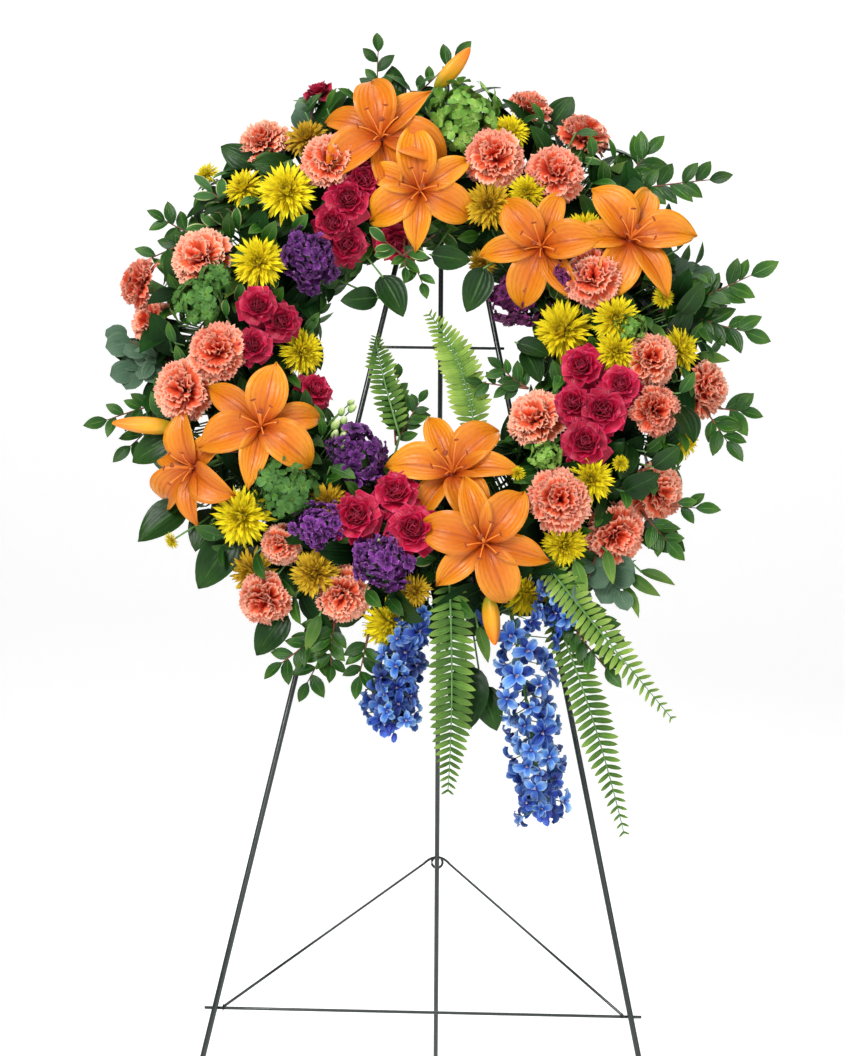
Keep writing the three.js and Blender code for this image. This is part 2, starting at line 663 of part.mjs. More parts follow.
/** Every plant, in the order in which it is fitted among its neighbours. */
function plantingList() {
  const list = [];
  const add = (plan, make, colour) => {
    for (const [name, entry] of Object.entries(plan)) list.push({ name, make: make(entry), colour });
  };
  add(LILIES, lily, COLOURS.lily);
  add(CARNATIONS, (blooms) => spray('carnation', blooms), COLOURS.carnation);
  add(MUMS, (blooms) => spray('mum', blooms), COLOURS.mum);
  add(ROSES, (blooms) => spray('rose', blooms), COLOURS.rose);
  add(STOCK, (blooms) => spray('cluster', blooms), COLOURS.stock);
  add(HYDRANGEAS, (blooms) => spray('cluster', blooms), COLOURS.hydrangea);
  add(DELPHINIUMS, spike, COLOURS.delphinium);
  add(FERNS, fern, COLOURS.fern);
  add(SPRIGS, sprig, COLOURS.huckleberry);
  return list;
}

/** The wreath in its own frame: ties and blooms first, then the tray and the foam cut to receive them. */
function buildWreath() {
  const wreath = new THREE.Group();
  const ties = {
    tie_wire_left: tieWire(215),
    tie_wire_right: tieWire(145),
    hanger_wire: hangerWire(),
  };
  let taken = null;
  for (const [name, solid] of Object.entries(ties)) {
    wreath.add(node(name, solid, COLOURS.wire, 0.4, 0.8));
    taken = taken ? taken.add(solid) : solid;
  }
  for (const { name, make, colour } of plantingList()) {
    const body = largestBody(make(0).subtract(taken));
    wreath.add(node(name, body, colour));
    taken = taken.add(make(FIT));
  }
  wreath.add(node('foam_ring', largestBody(foamRing().subtract(taken)), COLOURS.foam, 0.9));
  wreath.add(node('ring_tray', largestBody(ringTray().subtract(taken)), COLOURS.tray, 0.5));
  return wreath;
}

/** The easel, with its front frame, hinged rear leg and spreader. */
function buildEasel() {
  const easel = new THREE.Group();
  const parts = {
    front_leg_left: frontLeg(-1),
    front_leg_right: frontLeg(1),
    apex_bend: apexBend(),
    upper_crossbar: crossBar(EASEL.upperBarDrop, EASEL.upperBarLength),
    lower_crossbar: crossBar(EASEL.lowerBarDrop, EASEL.lowerBarLength),
    hinge_bar: hingeBar(),
    rear_leg: rearLeg(),
    spreader_brace: spreaderBrace(),
  };
  for (const [name, solid] of Object.entries(parts)) easel.add(node(name, solid, COLOURS.paint, 0.45, 0.6));
  return easel;
}

/** Moves the whole piece so that the origin is below the middle of its box. */
function centred(group) {
  group.updateMatrixWorld(true);
  const box = new THREE.Box3().setFromObject(group, true);
  group.position.set(-(box.min.x + box.max.x) / 2, -(box.min.y + box.max.y) / 2, 0);
  return group;
}

const wreath = buildWreath();
wreath.rotation.x = Math.PI / 2 - EASEL.lean;
wreath.position.copy(framePoint(RING.centreShift, -RING.centreDrop, EASEL.legRadius));

const easelWithWreath = new THREE.Group();
easelWithWreath.name = 'funeral_wreath';
easelWithWreath.add(buildEasel(), wreath);

export default centred(easelWithWreath);
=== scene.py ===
"""Looks of a standing funeral wreath: cut flowers on a foam ring, tied to a folding wire easel."""

from __future__ import annotations

import logging
import math
import random
from abc import ABC, abstractmethod
from dataclasses import dataclass, field
from enum import Enum

import bmesh
import bpy
from mathutils import Matrix, Vector

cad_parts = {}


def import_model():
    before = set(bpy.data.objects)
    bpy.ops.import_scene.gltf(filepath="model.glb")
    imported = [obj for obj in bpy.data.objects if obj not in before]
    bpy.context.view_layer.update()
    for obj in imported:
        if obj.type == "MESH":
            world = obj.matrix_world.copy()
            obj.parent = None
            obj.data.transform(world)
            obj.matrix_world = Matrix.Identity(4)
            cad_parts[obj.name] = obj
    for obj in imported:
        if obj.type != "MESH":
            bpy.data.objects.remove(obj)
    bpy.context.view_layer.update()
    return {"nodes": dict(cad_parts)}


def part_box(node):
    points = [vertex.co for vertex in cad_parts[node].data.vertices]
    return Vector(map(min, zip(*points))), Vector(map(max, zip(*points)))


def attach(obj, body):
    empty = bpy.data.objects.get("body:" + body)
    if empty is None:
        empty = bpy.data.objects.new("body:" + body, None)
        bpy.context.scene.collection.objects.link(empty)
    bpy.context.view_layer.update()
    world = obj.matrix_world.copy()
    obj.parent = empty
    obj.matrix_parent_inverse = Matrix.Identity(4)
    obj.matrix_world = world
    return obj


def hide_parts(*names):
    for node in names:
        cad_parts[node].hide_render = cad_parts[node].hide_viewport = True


LOG = logging.getLogger("wreath")
MM = 0.001
LEAN = math.radians(12)
UP = Vector((0, 0, 1))
FRAME_BODY = "front_frame"


# ---------------------------------------------------------------- the ring's own frame
@dataclass(frozen=True)
class Seat:
    """Where a bloom sits on the ring.

    Attributes:
        core: The point of the ring's core circle below the bloom.
        head: The middle of the bloom.
        aim: The way from one to the other.
    """

    core: Vector
    head: Vector
    aim: Vector


@dataclass(frozen=True)
class Head:
    """The space that a bloom takes up, in the ring's own axes, in mm."""

    middle: Vector
    facing: Vector
    radius: float

    def hidden_by(self, point: Vector, beyond: float) -> bool:
        """Whether a leaf at a point, up to some radii ahead of the bloom, would lie on its face."""
        away = point - self.middle
        ahead = away.dot(self.facing)
        beside = (away - self.facing * ahead).length
        return -0.45 * self.radius < ahead < beyond * self.radius and beside < 0.94 * self.radius


@dataclass
class RingFrame:
    """The tilted frame of the ring: clock angle, reach from its centre and lift off the easel, in mm."""

    centre: Vector
    radius: float = 220.0
    core_lift: float = 28.0
    tray_middle: float = 8.2
    least_tilt: float = math.radians(20)
    across: Vector = field(default_factory=lambda: Vector((1, 0, 0)))
    up: Vector = field(default_factory=lambda: Vector((0, math.sin(LEAN), math.cos(LEAN))))
    out: Vector = field(default_factory=lambda: Vector((0, -math.cos(LEAN), math.sin(LEAN))))
    heads: list[Head] = field(default_factory=list)

    @classmethod
    def from_tray(cls) -> RingFrame:
        """Finds the ring's frame from the box of its tray.

        Returns:
            The frame, with its origin where the ring's axis meets the easel.
        """
        low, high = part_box("ring_tray")
        ring = cls(centre=(Vector(low) + Vector(high)) / 2)
        ring.centre = ring.centre - ring.out * ring.tray_middle * MM
        return ring

    def turn(self) -> Matrix:
        """The rotation from the ring's own axes to the world's."""
        return Matrix((self.across, self.up, self.out)).transposed().to_4x4()

    def flat(self, clock: float, reach: float, lift: float = 0.0) -> Vector:
        """A point in the ring's own axes, in mm."""
        angle = math.radians(clock)
        return Vector((reach * math.sin(angle), reach * math.cos(angle), lift))

    def world(self, point: Vector) -> Vector:
        """Takes a point in the ring's own axes, in mm, to the world, in metres."""
        return self.centre + (self.across * point.x + self.up * point.y + self.out * point.z) * MM

    def free(self, start: Vector, end: Vector, beyond: float = 9.0) -> bool:
        """Whether a leaf from start to end leaves every bloom in sight."""
        points = [start.lerp(end, share) for share in (0.25, 0.6, 1.0)]
        return not any(head.hidden_by(point, beyond) for head in self.heads for point in points)

    def seat(self, clock: float, reach: float, distance: float = 95.0) -> Seat:
        """Places a bloom around the ring's core circle.

        Args:
            clock: Degrees clockwise from the top.
            reach: Distance of the bloom from the ring's centre, in mm.
            distance: Distance of the bloom from the core circle, in mm.

        Returns:
            The seat, in the ring's own axes.
        """
        outward = reach - self.radius
        level = math.cos(self.least_tilt)
        stand = max(distance, abs(outward) / level)
        aim = self.flat(clock, outward, math.sqrt(stand**2 - outward**2)).normalized()
        core = self.flat(clock, self.radius, self.core_lift)
        return Seat(core, core + aim * stand, aim)

    def matrix(self, place: Vector, aim: Vector, turn: float, size: float) -> Matrix:
        """The place of a head of unit size whose axis is +Z and whose first petal is on +Y.

        Args:
            place: Where it goes, in the ring's own axes, in mm.
            aim: The way it faces, in the ring's own axes.
            turn: Degrees clockwise of its first petal.
            size: Its diameter in mm.

        Returns:
            The matrix to the world.
        """
        facing = UP.rotation_difference(aim).to_matrix().to_4x4()
        spin = Matrix.Rotation(math.radians(-turn), 4, "Z")
        scale = Matrix.Scale(size * MM, 4)
        return Matrix.Translation(self.world(place)) @ self.turn() @ facing @ spin @ scale


# ---------------------------------------------------------------- node groups shared by the finishes
def new_group(name: str, inputs: dict[str, tuple[str, object]],
              outputs: dict[str, str]) -> bpy.types.NodeTree:
    """Starts a shader node group.

    Args:
        name: Its name.
        inputs: Socket type and default by name.
        outputs: Socket type by name.

    Returns:
        The group, with its two end nodes.
    """
    group = bpy.data.node_groups.new(name, "ShaderNodeTree")
    for label, (kind, value) in inputs.items():
        socket = group.interface.new_socket(label, in_out="INPUT", socket_type=kind)
        socket.default_value = value
    for label, kind in outputs.items():
        group.interface.new_socket(label, in_out="OUTPUT", socket_type=kind)
    group.nodes.new("NodeGroupInput")
    group.nodes.new("NodeGroupOutput")
    return group


class Graph:
    """A short way to write a node tree."""

    def __init__(self, tree: bpy.types.NodeTree) -> None:
        """Keeps the tree and finds its end nodes."""
        self.tree = tree
        self.source = next((n for n in tree.nodes if n.type == "GROUP_INPUT"), None)
        self.sink = next((n for n in tree.nodes if n.type == "GROUP_OUTPUT"), None)

    def join(self, value: object, socket: bpy.types.NodeSocket) -> None:
        """Links a socket to another, or sets its value."""
        if isinstance(value, bpy.types.NodeSocket):
            self.tree.links.new(value, socket)
        else:
            socket.default_value = value

    def math(self, operation: str, *values: object, clamp: bool = False) -> bpy.types.NodeSocket:
        """A Math node's result."""
        node = self.tree.nodes.new("ShaderNodeMath")
        node.operation = operation
        node.use_clamp = clamp
        for value, socket in zip(values, node.inputs):
            self.join(value, socket)
        return node.outputs[0]

    def mix(self, factor: object, a: object, b: object, blend: str = "MIX") -> bpy.types.NodeSocket:
        """A colour mix's result."""
        node = self.tree.nodes.new("ShaderNodeMix")
        node.data_type = "RGBA"
        node.blend_type = blend
        self.join(factor, node.inputs[0])
        self.join(a, node.inputs[6])
        self.join(b, node.inputs[7])
        return node.outputs[2]

    def smooth(self, value: object, low: float, high: float) -> bpy.types.NodeSocket:
        """A smooth step between two values."""
        node = self.tree.nodes.new("ShaderNodeMapRange")
        node.interpolation_type = "SMOOTHSTEP"
        self.join(value, node.inputs[0])
        node.inputs[1].default_value = low
        node.inputs[2].default_value = high
        return node.outputs[0]

    def noise(self, scale: object, detail: float = 3.0, stretch: tuple = (1, 1, 1)) -> bpy.types.NodeSocket:
        """Noise on Object coordinates."""
        place = self.tree.nodes.new("ShaderNodeTexCoord")
        mapping = self.tree.nodes.new("ShaderNodeMapping")
        mapping.inputs["Scale"].default_value = stretch
        node = self.tree.nodes.new("ShaderNodeTexNoise")
        node.inputs["Detail"].default_value = detail
        self.join(scale, node.inputs["Scale"])
        self.tree.links.new(place.outputs["Object"], mapping.inputs["Vector"])
        self.tree.links.new(mapping.outputs[0], node.inputs["Vector"])
        return node.outputs[0]

    def attribute(self, name: str) -> bpy.types.NodeSocket:
        """A number kept on the mesh."""
        node = self.tree.nodes.new("ShaderNodeAttribute")
        node.attribute_name = name
        return node.outputs["Fac"]

    def uv(self) -> tuple[bpy.types.NodeSocket, bpy.types.NodeSocket]:
        """Across and along a petal or leaf, each from 0 to 1."""
        node = self.tree.nodes.new("ShaderNodeUVMap")
        node.uv_map = "UVMap"
        split = self.tree.nodes.new("ShaderNodeSeparateXYZ")
        self.tree.links.new(node.outputs[0], split.inputs[0])
        return split.outputs[0], split.outputs[1]


def rgb(red: int, green: int, blue: int) -> tuple[float, float, float, float]:
    """A colour from display values of 0 to 255 to linear light."""

    def linear(value: int) -> float:
        """One channel."""
        share = value / 255
        return share / 12.92 if share <= 0.04045 else ((share + 0.055) / 1.055) ** 2.4

    return (linear(red), linear(green), linear(blue), 1.0)


COLOUR = "NodeSocketColor"
NUMBER = "NodeSocketFloat"
GREY = rgb(128, 128, 128)


def petal_pattern() -> bpy.types.NodeTree:
    """The colouring of a petal or leaf, from its base to its tip and from its midrib to its edge.

    Returns:
        The node group, with a colour and a height for relief.
    """
    found = bpy.data.node_groups.get("petal_pattern")
    if found:
        return found
    group = new_group(
        "petal_pattern",
        {
            "Base": (COLOUR, GREY),
            "Middle": (COLOUR, GREY),
            "Tip": (COLOUR, GREY),
            "Edge": (COLOUR, GREY),
            "Deep": (COLOUR, GREY),
            "Rib": (COLOUR, GREY),
            "Edge Width": (NUMBER, 0.2),
            "Edge Amount": (NUMBER, 0.5),
            "Rim Amount": (NUMBER, 0.0),
            "Rib Amount": (NUMBER, 0.3),
            "Veins": (NUMBER, 14.0),
            "Vein Amount": (NUMBER, 0.2),
            "Mottle": (NUMBER, 0.3),
        },
        {"Color": COLOUR, "Height": NUMBER, "Grain": NUMBER},
    )
    graph = Graph(group)
    socket = graph.source.outputs
    across, along = graph.uv()
    # The Base ramp carries painted shade in the delphinium and rose finishes, and the Deep mottle partly does
    # in the delphinium finish. The pale Edge band and rim carry painted highlight in the delphinium, rose and
    # stock finishes.
    lower = graph.mix(graph.smooth(along, 0.02, 0.42), socket["Base"], socket["Middle"])
    colour = graph.mix(graph.smooth(along, 0.4, 0.95), lower, socket["Tip"])
    side = graph.math("MULTIPLY", graph.math("ABSOLUTE", graph.math("SUBTRACT", across, 0.5)), 2.0)
    inner = graph.math("SUBTRACT", 1.0, socket["Edge Width"])
    band = graph.math("DIVIDE", graph.math("SUBTRACT", side, inner, clamp=True), socket["Edge Width"],
                      clamp=True)
    frayed = graph.math("MULTIPLY", band, graph.smooth(along, 0.1, 0.5))
    colour = graph.mix(graph.math("MULTIPLY", frayed, socket["Edge Amount"]), colour, socket["Edge"])
    rim = graph.math("MULTIPLY", graph.smooth(along, 0.84, 0.99), socket["Rim Amount"])
    colour = graph.mix(rim, colour, socket["Edge"])
    rib = graph.math("SUBTRACT", 1.0, graph.smooth(side, 0.0, 0.14))
    rib = graph.math("MULTIPLY", rib, graph.math("SUBTRACT", 1.0, graph.smooth(along, 0.65, 1.0)))
    colour = graph.mix(graph.math("MULTIPLY", rib, socket["Rib Amount"]), colour, socket["Rib"])
    bend = graph.math("MULTIPLY", side, 2.2)
    phase = graph.math("ADD", graph.math("MULTIPLY", along, 0.9), graph.math("MULTIPLY", bend, -0.12))
    waves = graph.math("SINE", graph.math("MULTIPLY", phase, graph.math("MULTIPLY", socket["Veins"], 6.2832)))
    lines = graph.math("SINE", graph.math("MULTIPLY", side, graph.math("MULTIPLY", socket["Veins"], 3.1416)))
    veins = graph.math("MULTIPLY", graph.math("ADD", graph.math("MULTIPLY", waves, 0.35), lines), 0.5)
    speck = graph.noise(150.0, 4.0)
    broad = graph.noise(45.0, 2.0)
    shade = graph.attribute("shade")
    bloom = graph.attribute("bloom")
    mood = graph.math("ADD", graph.math("MULTIPLY", shade, 0.5), graph.math("MULTIPLY", bloom, 0.5))
    patch = graph.math("ADD", graph.math("MULTIPLY", broad, 0.6), graph.math("MULTIPLY", mood, 0.8))
    patch = graph.math("MULTIPLY", graph.smooth(patch, 0.35, 1.05), socket["Mottle"])
    colour = graph.mix(patch, colour, socket["Deep"])
    vein_shade = graph.math("MULTIPLY", graph.smooth(veins, 0.1, 0.6), socket["Vein Amount"])
    colour = graph.mix(vein_shade, colour, socket["Deep"])
    relief = graph.math("ADD", graph.math("MULTIPLY", veins, 0.6), graph.math("MULTIPLY", rib, -1.2))
    relief = graph.math("ADD", relief, graph.math("MULTIPLY", speck, 0.5))
    graph.join(colour, graph.sink.inputs["Color"])
    graph.join(relief, graph.sink.inputs["Height"])
    graph.join(speck, graph.sink.inputs["Grain"])
    return group


def fine_grain() -> bpy.types.NodeTree:
    """Uneven colour and small pits on stems, plastic, foam and paint.

    Returns:
        The node group, with a colour and a height for relief.
    """
    found = bpy.data.node_groups.get("fine_grain")
    if found:
        return found
    group = new_group(
        "fine_grain",
        {
            "Light": (COLOUR, GREY),
            "Dark": (COLOUR, GREY),
            "Scale": (NUMBER, 300.0),
            "Broad Scale": (NUMBER, 20.0),
            "Contrast": (NUMBER, 0.5),
        },
        {"Color": COLOUR, "Height": NUMBER, "Mask": NUMBER},
    )
    graph = Graph(group)
    socket = graph.source.outputs
    small = graph.noise(socket["Scale"], 5.0)
    broad = graph.noise(socket["Broad Scale"], 3.0)
    both = graph.math("ADD", graph.math("MULTIPLY", small, 0.5), graph.math("MULTIPLY", broad, 0.5))
    mask = graph.smooth(both, 0.38, 0.62)
    amount = graph.math("MULTIPLY", mask, socket["Contrast"])
    graph.join(graph.mix(amount, socket["Light"], socket["Dark"]), graph.sink.inputs["Color"])
    graph.join(small, graph.sink.inputs["Height"])
    graph.join(mask, graph.sink.inputs["Mask"])
    return group


def start_material(name: str) -> tuple[bpy.types.Material, Graph, bpy.types.Node]:
    """An empty material with one Principled shader.

    Args:
        name: The material's name.

    Returns:
        The material, its graph and its shader node.
    """
    material = bpy.data.materials.new(name)
    material.use_nodes = True
    shader = material.node_tree.nodes["Principled BSDF"]
    return material, Graph(material.node_tree), shader


def relief(graph: Graph, shader: bpy.types.Node, height: bpy.types.NodeSocket, depth: float) -> None:
    """Feeds a height to the shader's normal.

    Args:
        graph: The material's graph.
        shader: Its Principled shader.
        height: The height.
        depth: Its depth in metres.
    """
    bump = graph.tree.nodes.new("ShaderNodeBump")
    bump.inputs["Strength"].default_value = 0.6
    bump.inputs["Distance"].default_value = depth
    graph.join(height, bump.inputs["Height"])
    graph.join(bump.outputs[0], shader.inputs["Normal"])


@dataclass(frozen=True)
class PetalFinish:
    """The finish of a petal or a leaf."""

    name: str
    base: tuple
    middle: tuple
    tip: tuple
    edge: tuple
    deep: tuple
    rib: tuple
    edge_width: float = 0.25
    edge_amount: float = 0.4
    rim_amount: float = 0.0
    rib_amount: float = 0.25
    veins: float = 12.0
    vein_amount: float = 0.15
    mottle: float = 0.35
    roughness: float = 0.55
    soft: float = 0.12
    sheen: float = 0.04
    coat: float = 0.0
    shine: float = 0.35
    depth: float = 0.0006

    def material(self) -> bpy.types.Material:
        """Builds the material, once."""
        found = bpy.data.materials.get(self.name)
        if found:
            return found
        material, graph, shader = start_material(self.name)
        pattern = graph.tree.nodes.new("ShaderNodeGroup")
        pattern.node_tree = petal_pattern()
        values = {
            "Base": self.base, "Middle": self.middle, "Tip": self.tip, "Edge": self.edge,
            "Deep": self.deep, "Rib": self.rib, "Edge Width": self.edge_width,
            "Edge Amount": self.edge_amount, "Rim Amount": self.rim_amount, "Rib Amount": self.rib_amount,
            "Veins": self.veins, "Vein Amount": self.vein_amount, "Mottle": self.mottle,
        }
        for label, value in values.items():
            pattern.inputs[label].default_value = value
        graph.join(pattern.outputs["Color"], shader.inputs["Base Color"])
        rough = graph.math("ADD", graph.math("MULTIPLY", pattern.outputs["Grain"], 0.24),
                           self.roughness - 0.12)
        graph.join(rough, shader.inputs["Roughness"])
        shader.inputs["Specular IOR Level"].default_value = self.shine
        shader.inputs["Subsurface Weight"].default_value = self.soft
        shader.inputs["Subsurface Scale"].default_value = 0.003
        shader.inputs["Sheen Weight"].default_value = self.sheen
        shader.inputs["Sheen Roughness"].default_value = 0.4
        shader.inputs["Coat Weight"].default_value = self.coat
        shader.inputs["Coat Roughness"].default_value = 0.25
        relief(graph, shader, pattern.outputs["Height"], self.depth)
        return material


@dataclass(frozen=True)
class GrainFinish:
    """The finish of a stem, wire, tray or foam."""

    name: str
    light: tuple
    dark: tuple
    scale: float = 300.0
    broad: float = 20.0
    contrast: float = 0.6
    roughness: float = 0.5
    metallic: float = 0.0
    coat: float = 0.0
    depth: float = 0.0003

    def material(self) -> bpy.types.Material:
        """Builds the material, once."""
        found = bpy.data.materials.get(self.name)
        if found:
            return found
        material, graph, shader = start_material(self.name)
        grain = graph.tree.nodes.new("ShaderNodeGroup")
        grain.node_tree = fine_grain()
        values = {
            "Light": self.light, "Dark": self.dark, "Scale": self.scale,
            "Broad Scale": self.broad, "Contrast": self.contrast,
        }
        for label, value in values.items():
            grain.inputs[label].default_value = value
        graph.join(grain.outputs["Color"], shader.inputs["Base Color"])
        rough = graph.math("ADD", graph.math("MULTIPLY", grain.outputs["Mask"], 0.2), self.roughness - 0.1)
        graph.join(rough, shader.inputs["Roughness"])
        shader.inputs["Metallic"].default_value = self.metallic
        shader.inputs["Coat Weight"].default_value = self.coat
        shader.inputs["Coat Roughness"].default_value = 0.2
        relief(graph, shader, grain.outputs["Height"], self.depth)
        return material


LILY = PetalFinish(
    "lily_orange", base=rgb(166, 54, 4), middle=rgb(204, 112, 6), tip=rgb(218, 140, 12),
    edge=rgb(236, 170, 40), deep=rgb(182, 80, 4), rib=rgb(160, 70, 6), edge_width=0.7,
    edge_amount=0.55, rib_amount=0.65, veins=9, vein_amount=0.22, mottle=0.55, roughness=0.4, soft=0.07,
    depth=0.0008,
)
LILY_BUD = PetalFinish(
    "lily_bud", base=rgb(140, 150, 30), middle=rgb(234, 158, 26), tip=rgb(236, 122, 16),
    edge=rgb(236, 170, 60), deep=rgb(206, 104, 12), rib=rgb(190, 150, 40), veins=6, roughness=0.4,
)
CARNATION = PetalFinish(
    "carnation_coral", base=rgb(196, 38, 16), middle=rgb(232, 74, 38), tip=rgb(247, 126, 80),
    edge=rgb(255, 214, 186), deep=rgb(206, 44, 28), rib=rgb(226, 74, 48), edge_width=0.26, edge_amount=0.5,
    rim_amount=0.8, rib_amount=0.1, veins=12, vein_amount=0.18, mottle=0.45, roughness=0.65, soft=0.08,
    shine=0.2,
)
MUM = PetalFinish(
    "chrysanthemum_yellow", base=rgb(178, 156, 2), middle=rgb(236, 214, 8), tip=rgb(250, 232, 28),
    edge=rgb(255, 244, 90), deep=rgb(206, 176, 4), rib=rgb(212, 186, 6), rib_amount=0.4, veins=4,
    vein_amount=0.2, mottle=0.4, roughness=0.6, soft=0.14, shine=0.2,
)
GOLD_MUM = PetalFinish(
    "chrysanthemum_gold", base=rgb(140, 96, 4), middle=rgb(206, 160, 12), tip=rgb(230, 192, 32),
    edge=rgb(240, 212, 74), deep=rgb(156, 106, 6), rib=rgb(170, 124, 8), rib_amount=0.45, veins=4,
    vein_amount=0.25, mottle=0.45, roughness=0.6, soft=0.08,
)
# The very dark base is painted shade between the nested petals; the pale rim is painted highlight on the
# petal rims.
ROSE = PetalFinish(
    "rose_pink", base=rgb(72, 0, 18), middle=rgb(160, 0, 42), tip=rgb(202, 8, 64),
    edge=rgb(240, 84, 132), deep=rgb(112, 0, 28), rib=rgb(150, 2, 44), edge_width=0.14, edge_amount=0.45,
    rim_amount=0.65, rib_amount=0.1, veins=10, vein_amount=0.16, mottle=0.45, roughness=0.45, soft=0.06,
    sheen=0.05,
)
# The pale rim at each petal tip is painted highlight.
STOCK = PetalFinish(
    "stock_purple", base=rgb(52, 4, 72), middle=rgb(90, 14, 108), tip=rgb(138, 48, 156),
    edge=rgb(206, 146, 222), deep=rgb(38, 2, 54), rib=rgb(68, 10, 84), edge_amount=0.35, rim_amount=0.6,
    mottle=0.6, roughness=0.5, sheen=0.06,
)
# The pale rim at each petal tip is painted highlight.
PLUM_STOCK = PetalFinish(
    "stock_plum", base=rgb(66, 4, 56), middle=rgb(106, 10, 88), tip=rgb(148, 38, 124),
    edge=rgb(190, 92, 170), deep=rgb(50, 4, 46), rib=rgb(84, 10, 70), edge_amount=0.35, rim_amount=0.55,
    mottle=0.6, roughness=0.5, sheen=0.1,
)
PALE_BUD = PetalFinish(
    "stock_bud", base=rgb(96, 140, 60), middle=rgb(160, 192, 110), tip=rgb(204, 216, 166),
    edge=rgb(220, 226, 190), deep=rgb(126, 152, 80), rib=rgb(140, 170, 90), roughness=0.5,
)
HYDRANGEA = PetalFinish(
    "hydrangea_green", base=rgb(192, 216, 124), middle=rgb(142, 184, 72), tip=rgb(108, 160, 54),
    edge=rgb(184, 212, 122), deep=rgb(52, 112, 24), rib=rgb(160, 204, 90), edge_amount=0.4, rib_amount=0.35,
    veins=5, vein_amount=0.25, mottle=0.6, roughness=0.5,
)
DARK_HYDRANGEA = PetalFinish(
    "hydrangea_shaded", base=rgb(110, 150, 60), middle=rgb(78, 128, 44), tip=rgb(60, 108, 36),
    edge=rgb(104, 150, 64), deep=rgb(36, 80, 24), rib=rgb(110, 150, 70), edge_amount=0.4, rib_amount=0.35,
    veins=5, vein_amount=0.25, mottle=0.6, roughness=0.5,
)
# The blue of the sepals is the middle and tip. The darker base is painted shade between the sepals, the deep
# mottle is partly random tone and partly painted shade, and the pale side edges are painted highlight.
DELPHINIUM = PetalFinish(
    "delphinium_blue", base=rgb(24, 30, 120), middle=rgb(26, 62, 168), tip=rgb(52, 104, 196),
    edge=rgb(144, 190, 236), deep=rgb(12, 14, 78), rib=rgb(80, 84, 196), edge_width=0.4, edge_amount=0.5,
    rib_amount=0.4, veins=8, vein_amount=0.3, mottle=0.75, roughness=0.42, sheen=0.03,
)
PALE_DELPHINIUM = PetalFinish(
    "delphinium_light", base=rgb(44, 62, 168), middle=rgb(62, 128, 216), tip=rgb(142, 192, 236),
    edge=rgb(206, 230, 250), deep=rgb(26, 40, 132), rib=rgb(96, 96, 206), edge_width=0.4, edge_amount=0.55,
    rib_amount=0.4, veins=8, vein_amount=0.25, mottle=0.65, roughness=0.42, sheen=0.03,
)
DELPHINIUM_EYE = PetalFinish(
    "delphinium_eye", base=rgb(176, 120, 170), middle=rgb(220, 196, 226), tip=rgb(244, 240, 248),
    edge=rgb(250, 248, 252), deep=rgb(130, 110, 190), rib=rgb(200, 170, 206), roughness=0.5,
)
FERN = PetalFinish(
    "sword_fern", base=rgb(64, 100, 34), middle=rgb(84, 124, 44), tip=rgb(130, 164, 70),
    edge=rgb(156, 186, 92), deep=rgb(26, 62, 18), rib=rgb(136, 172, 76), rib_amount=0.5, veins=10,
    vein_amount=0.25, mottle=0.6, roughness=0.45, soft=0.04, sheen=0.0, shine=0.2,
)
LIGHT_FERN = PetalFinish(
    "young_fern", base=rgb(96, 132, 46), middle=rgb(130, 164, 64), tip=rgb(178, 202, 98),
    edge=rgb(200, 220, 126), deep=rgb(48, 92, 26), rib=rgb(168, 196, 100), rib_amount=0.5, veins=10,
    vein_amount=0.25, mottle=0.55, roughness=0.45, soft=0.05, sheen=0.0, shine=0.2,
)
HUCKLEBERRY = PetalFinish(
    "huckleberry_leaf", base=rgb(28, 68, 14), middle=rgb(38, 84, 20), tip=rgb(74, 114, 38),
    edge=rgb(138, 172, 86), deep=rgb(12, 46, 8), rib=rgb(112, 160, 66), edge_width=0.16, rib_amount=0.5,
    veins=6, vein_amount=0.2, mottle=0.7, roughness=0.32, soft=0.02, sheen=0.0, coat=0.06, shine=0.2,
)
SALAL = PetalFinish(
    "salal_leaf", base=rgb(22, 48, 14), middle=rgb(28, 60, 18), tip=rgb(42, 76, 24),
    edge=rgb(56, 104, 36), deep=rgb(8, 32, 10), rib=rgb(74, 122, 50), edge_width=0.1, rib_amount=0.45,
    veins=6, vein_amount=0.25, mottle=0.6, roughness=0.34, soft=0.02, sheen=0.0, coat=0.05, shine=0.14,
    depth=0.0007,
)
SHADED = PetalFinish(
    "shaded_leaf", base=rgb(10, 34, 10), middle=rgb(16, 46, 14), tip=rgb(28, 66, 20),
    edge=rgb(40, 82, 28), deep=rgb(5, 20, 6), rib=rgb(46, 88, 34), edge_width=0.1, rib_amount=0.4,
    veins=6, vein_amount=0.2, mottle=0.6, roughness=0.5, soft=0.0, sheen=0.0, shine=0.08, depth=0.0007,
)
EUCALYPTUS = PetalFinish(
    "eucalyptus_leaf", base=rgb(66, 94, 70), middle=rgb(80, 108, 84), tip=rgb(100, 126, 102),
    edge=rgb(122, 146, 122), deep=rgb(42, 70, 50), rib=rgb(120, 146, 118), rib_amount=0.4, veins=6,
    vein_amount=0.2, mottle=0.6, roughness=0.6, soft=0.02, sheen=0.03, shine=0.15,
)
VARIEGATED = PetalFinish(
    "pittosporum_leaf", base=rgb(40, 88, 30), middle=rgb(48, 98, 34), tip=rgb(64, 114, 44),
    edge=rgb(214, 216, 146), deep=rgb(26, 64, 22), rib=rgb(110, 146, 74), edge_width=0.26, edge_amount=0.9,
    rib_amount=0.3, veins=6, mottle=0.45, roughness=0.42, soft=0.03, sheen=0.0, shine=0.25,
)
STEM = GrainFinish("green_stem", rgb(96, 140, 66), rgb(52, 92, 42), scale=260, broad=40, roughness=0.5)
TWIG = GrainFinish("red_twig", rgb(118, 62, 40), rgb(70, 60, 34), scale=300, broad=50, roughness=0.6)
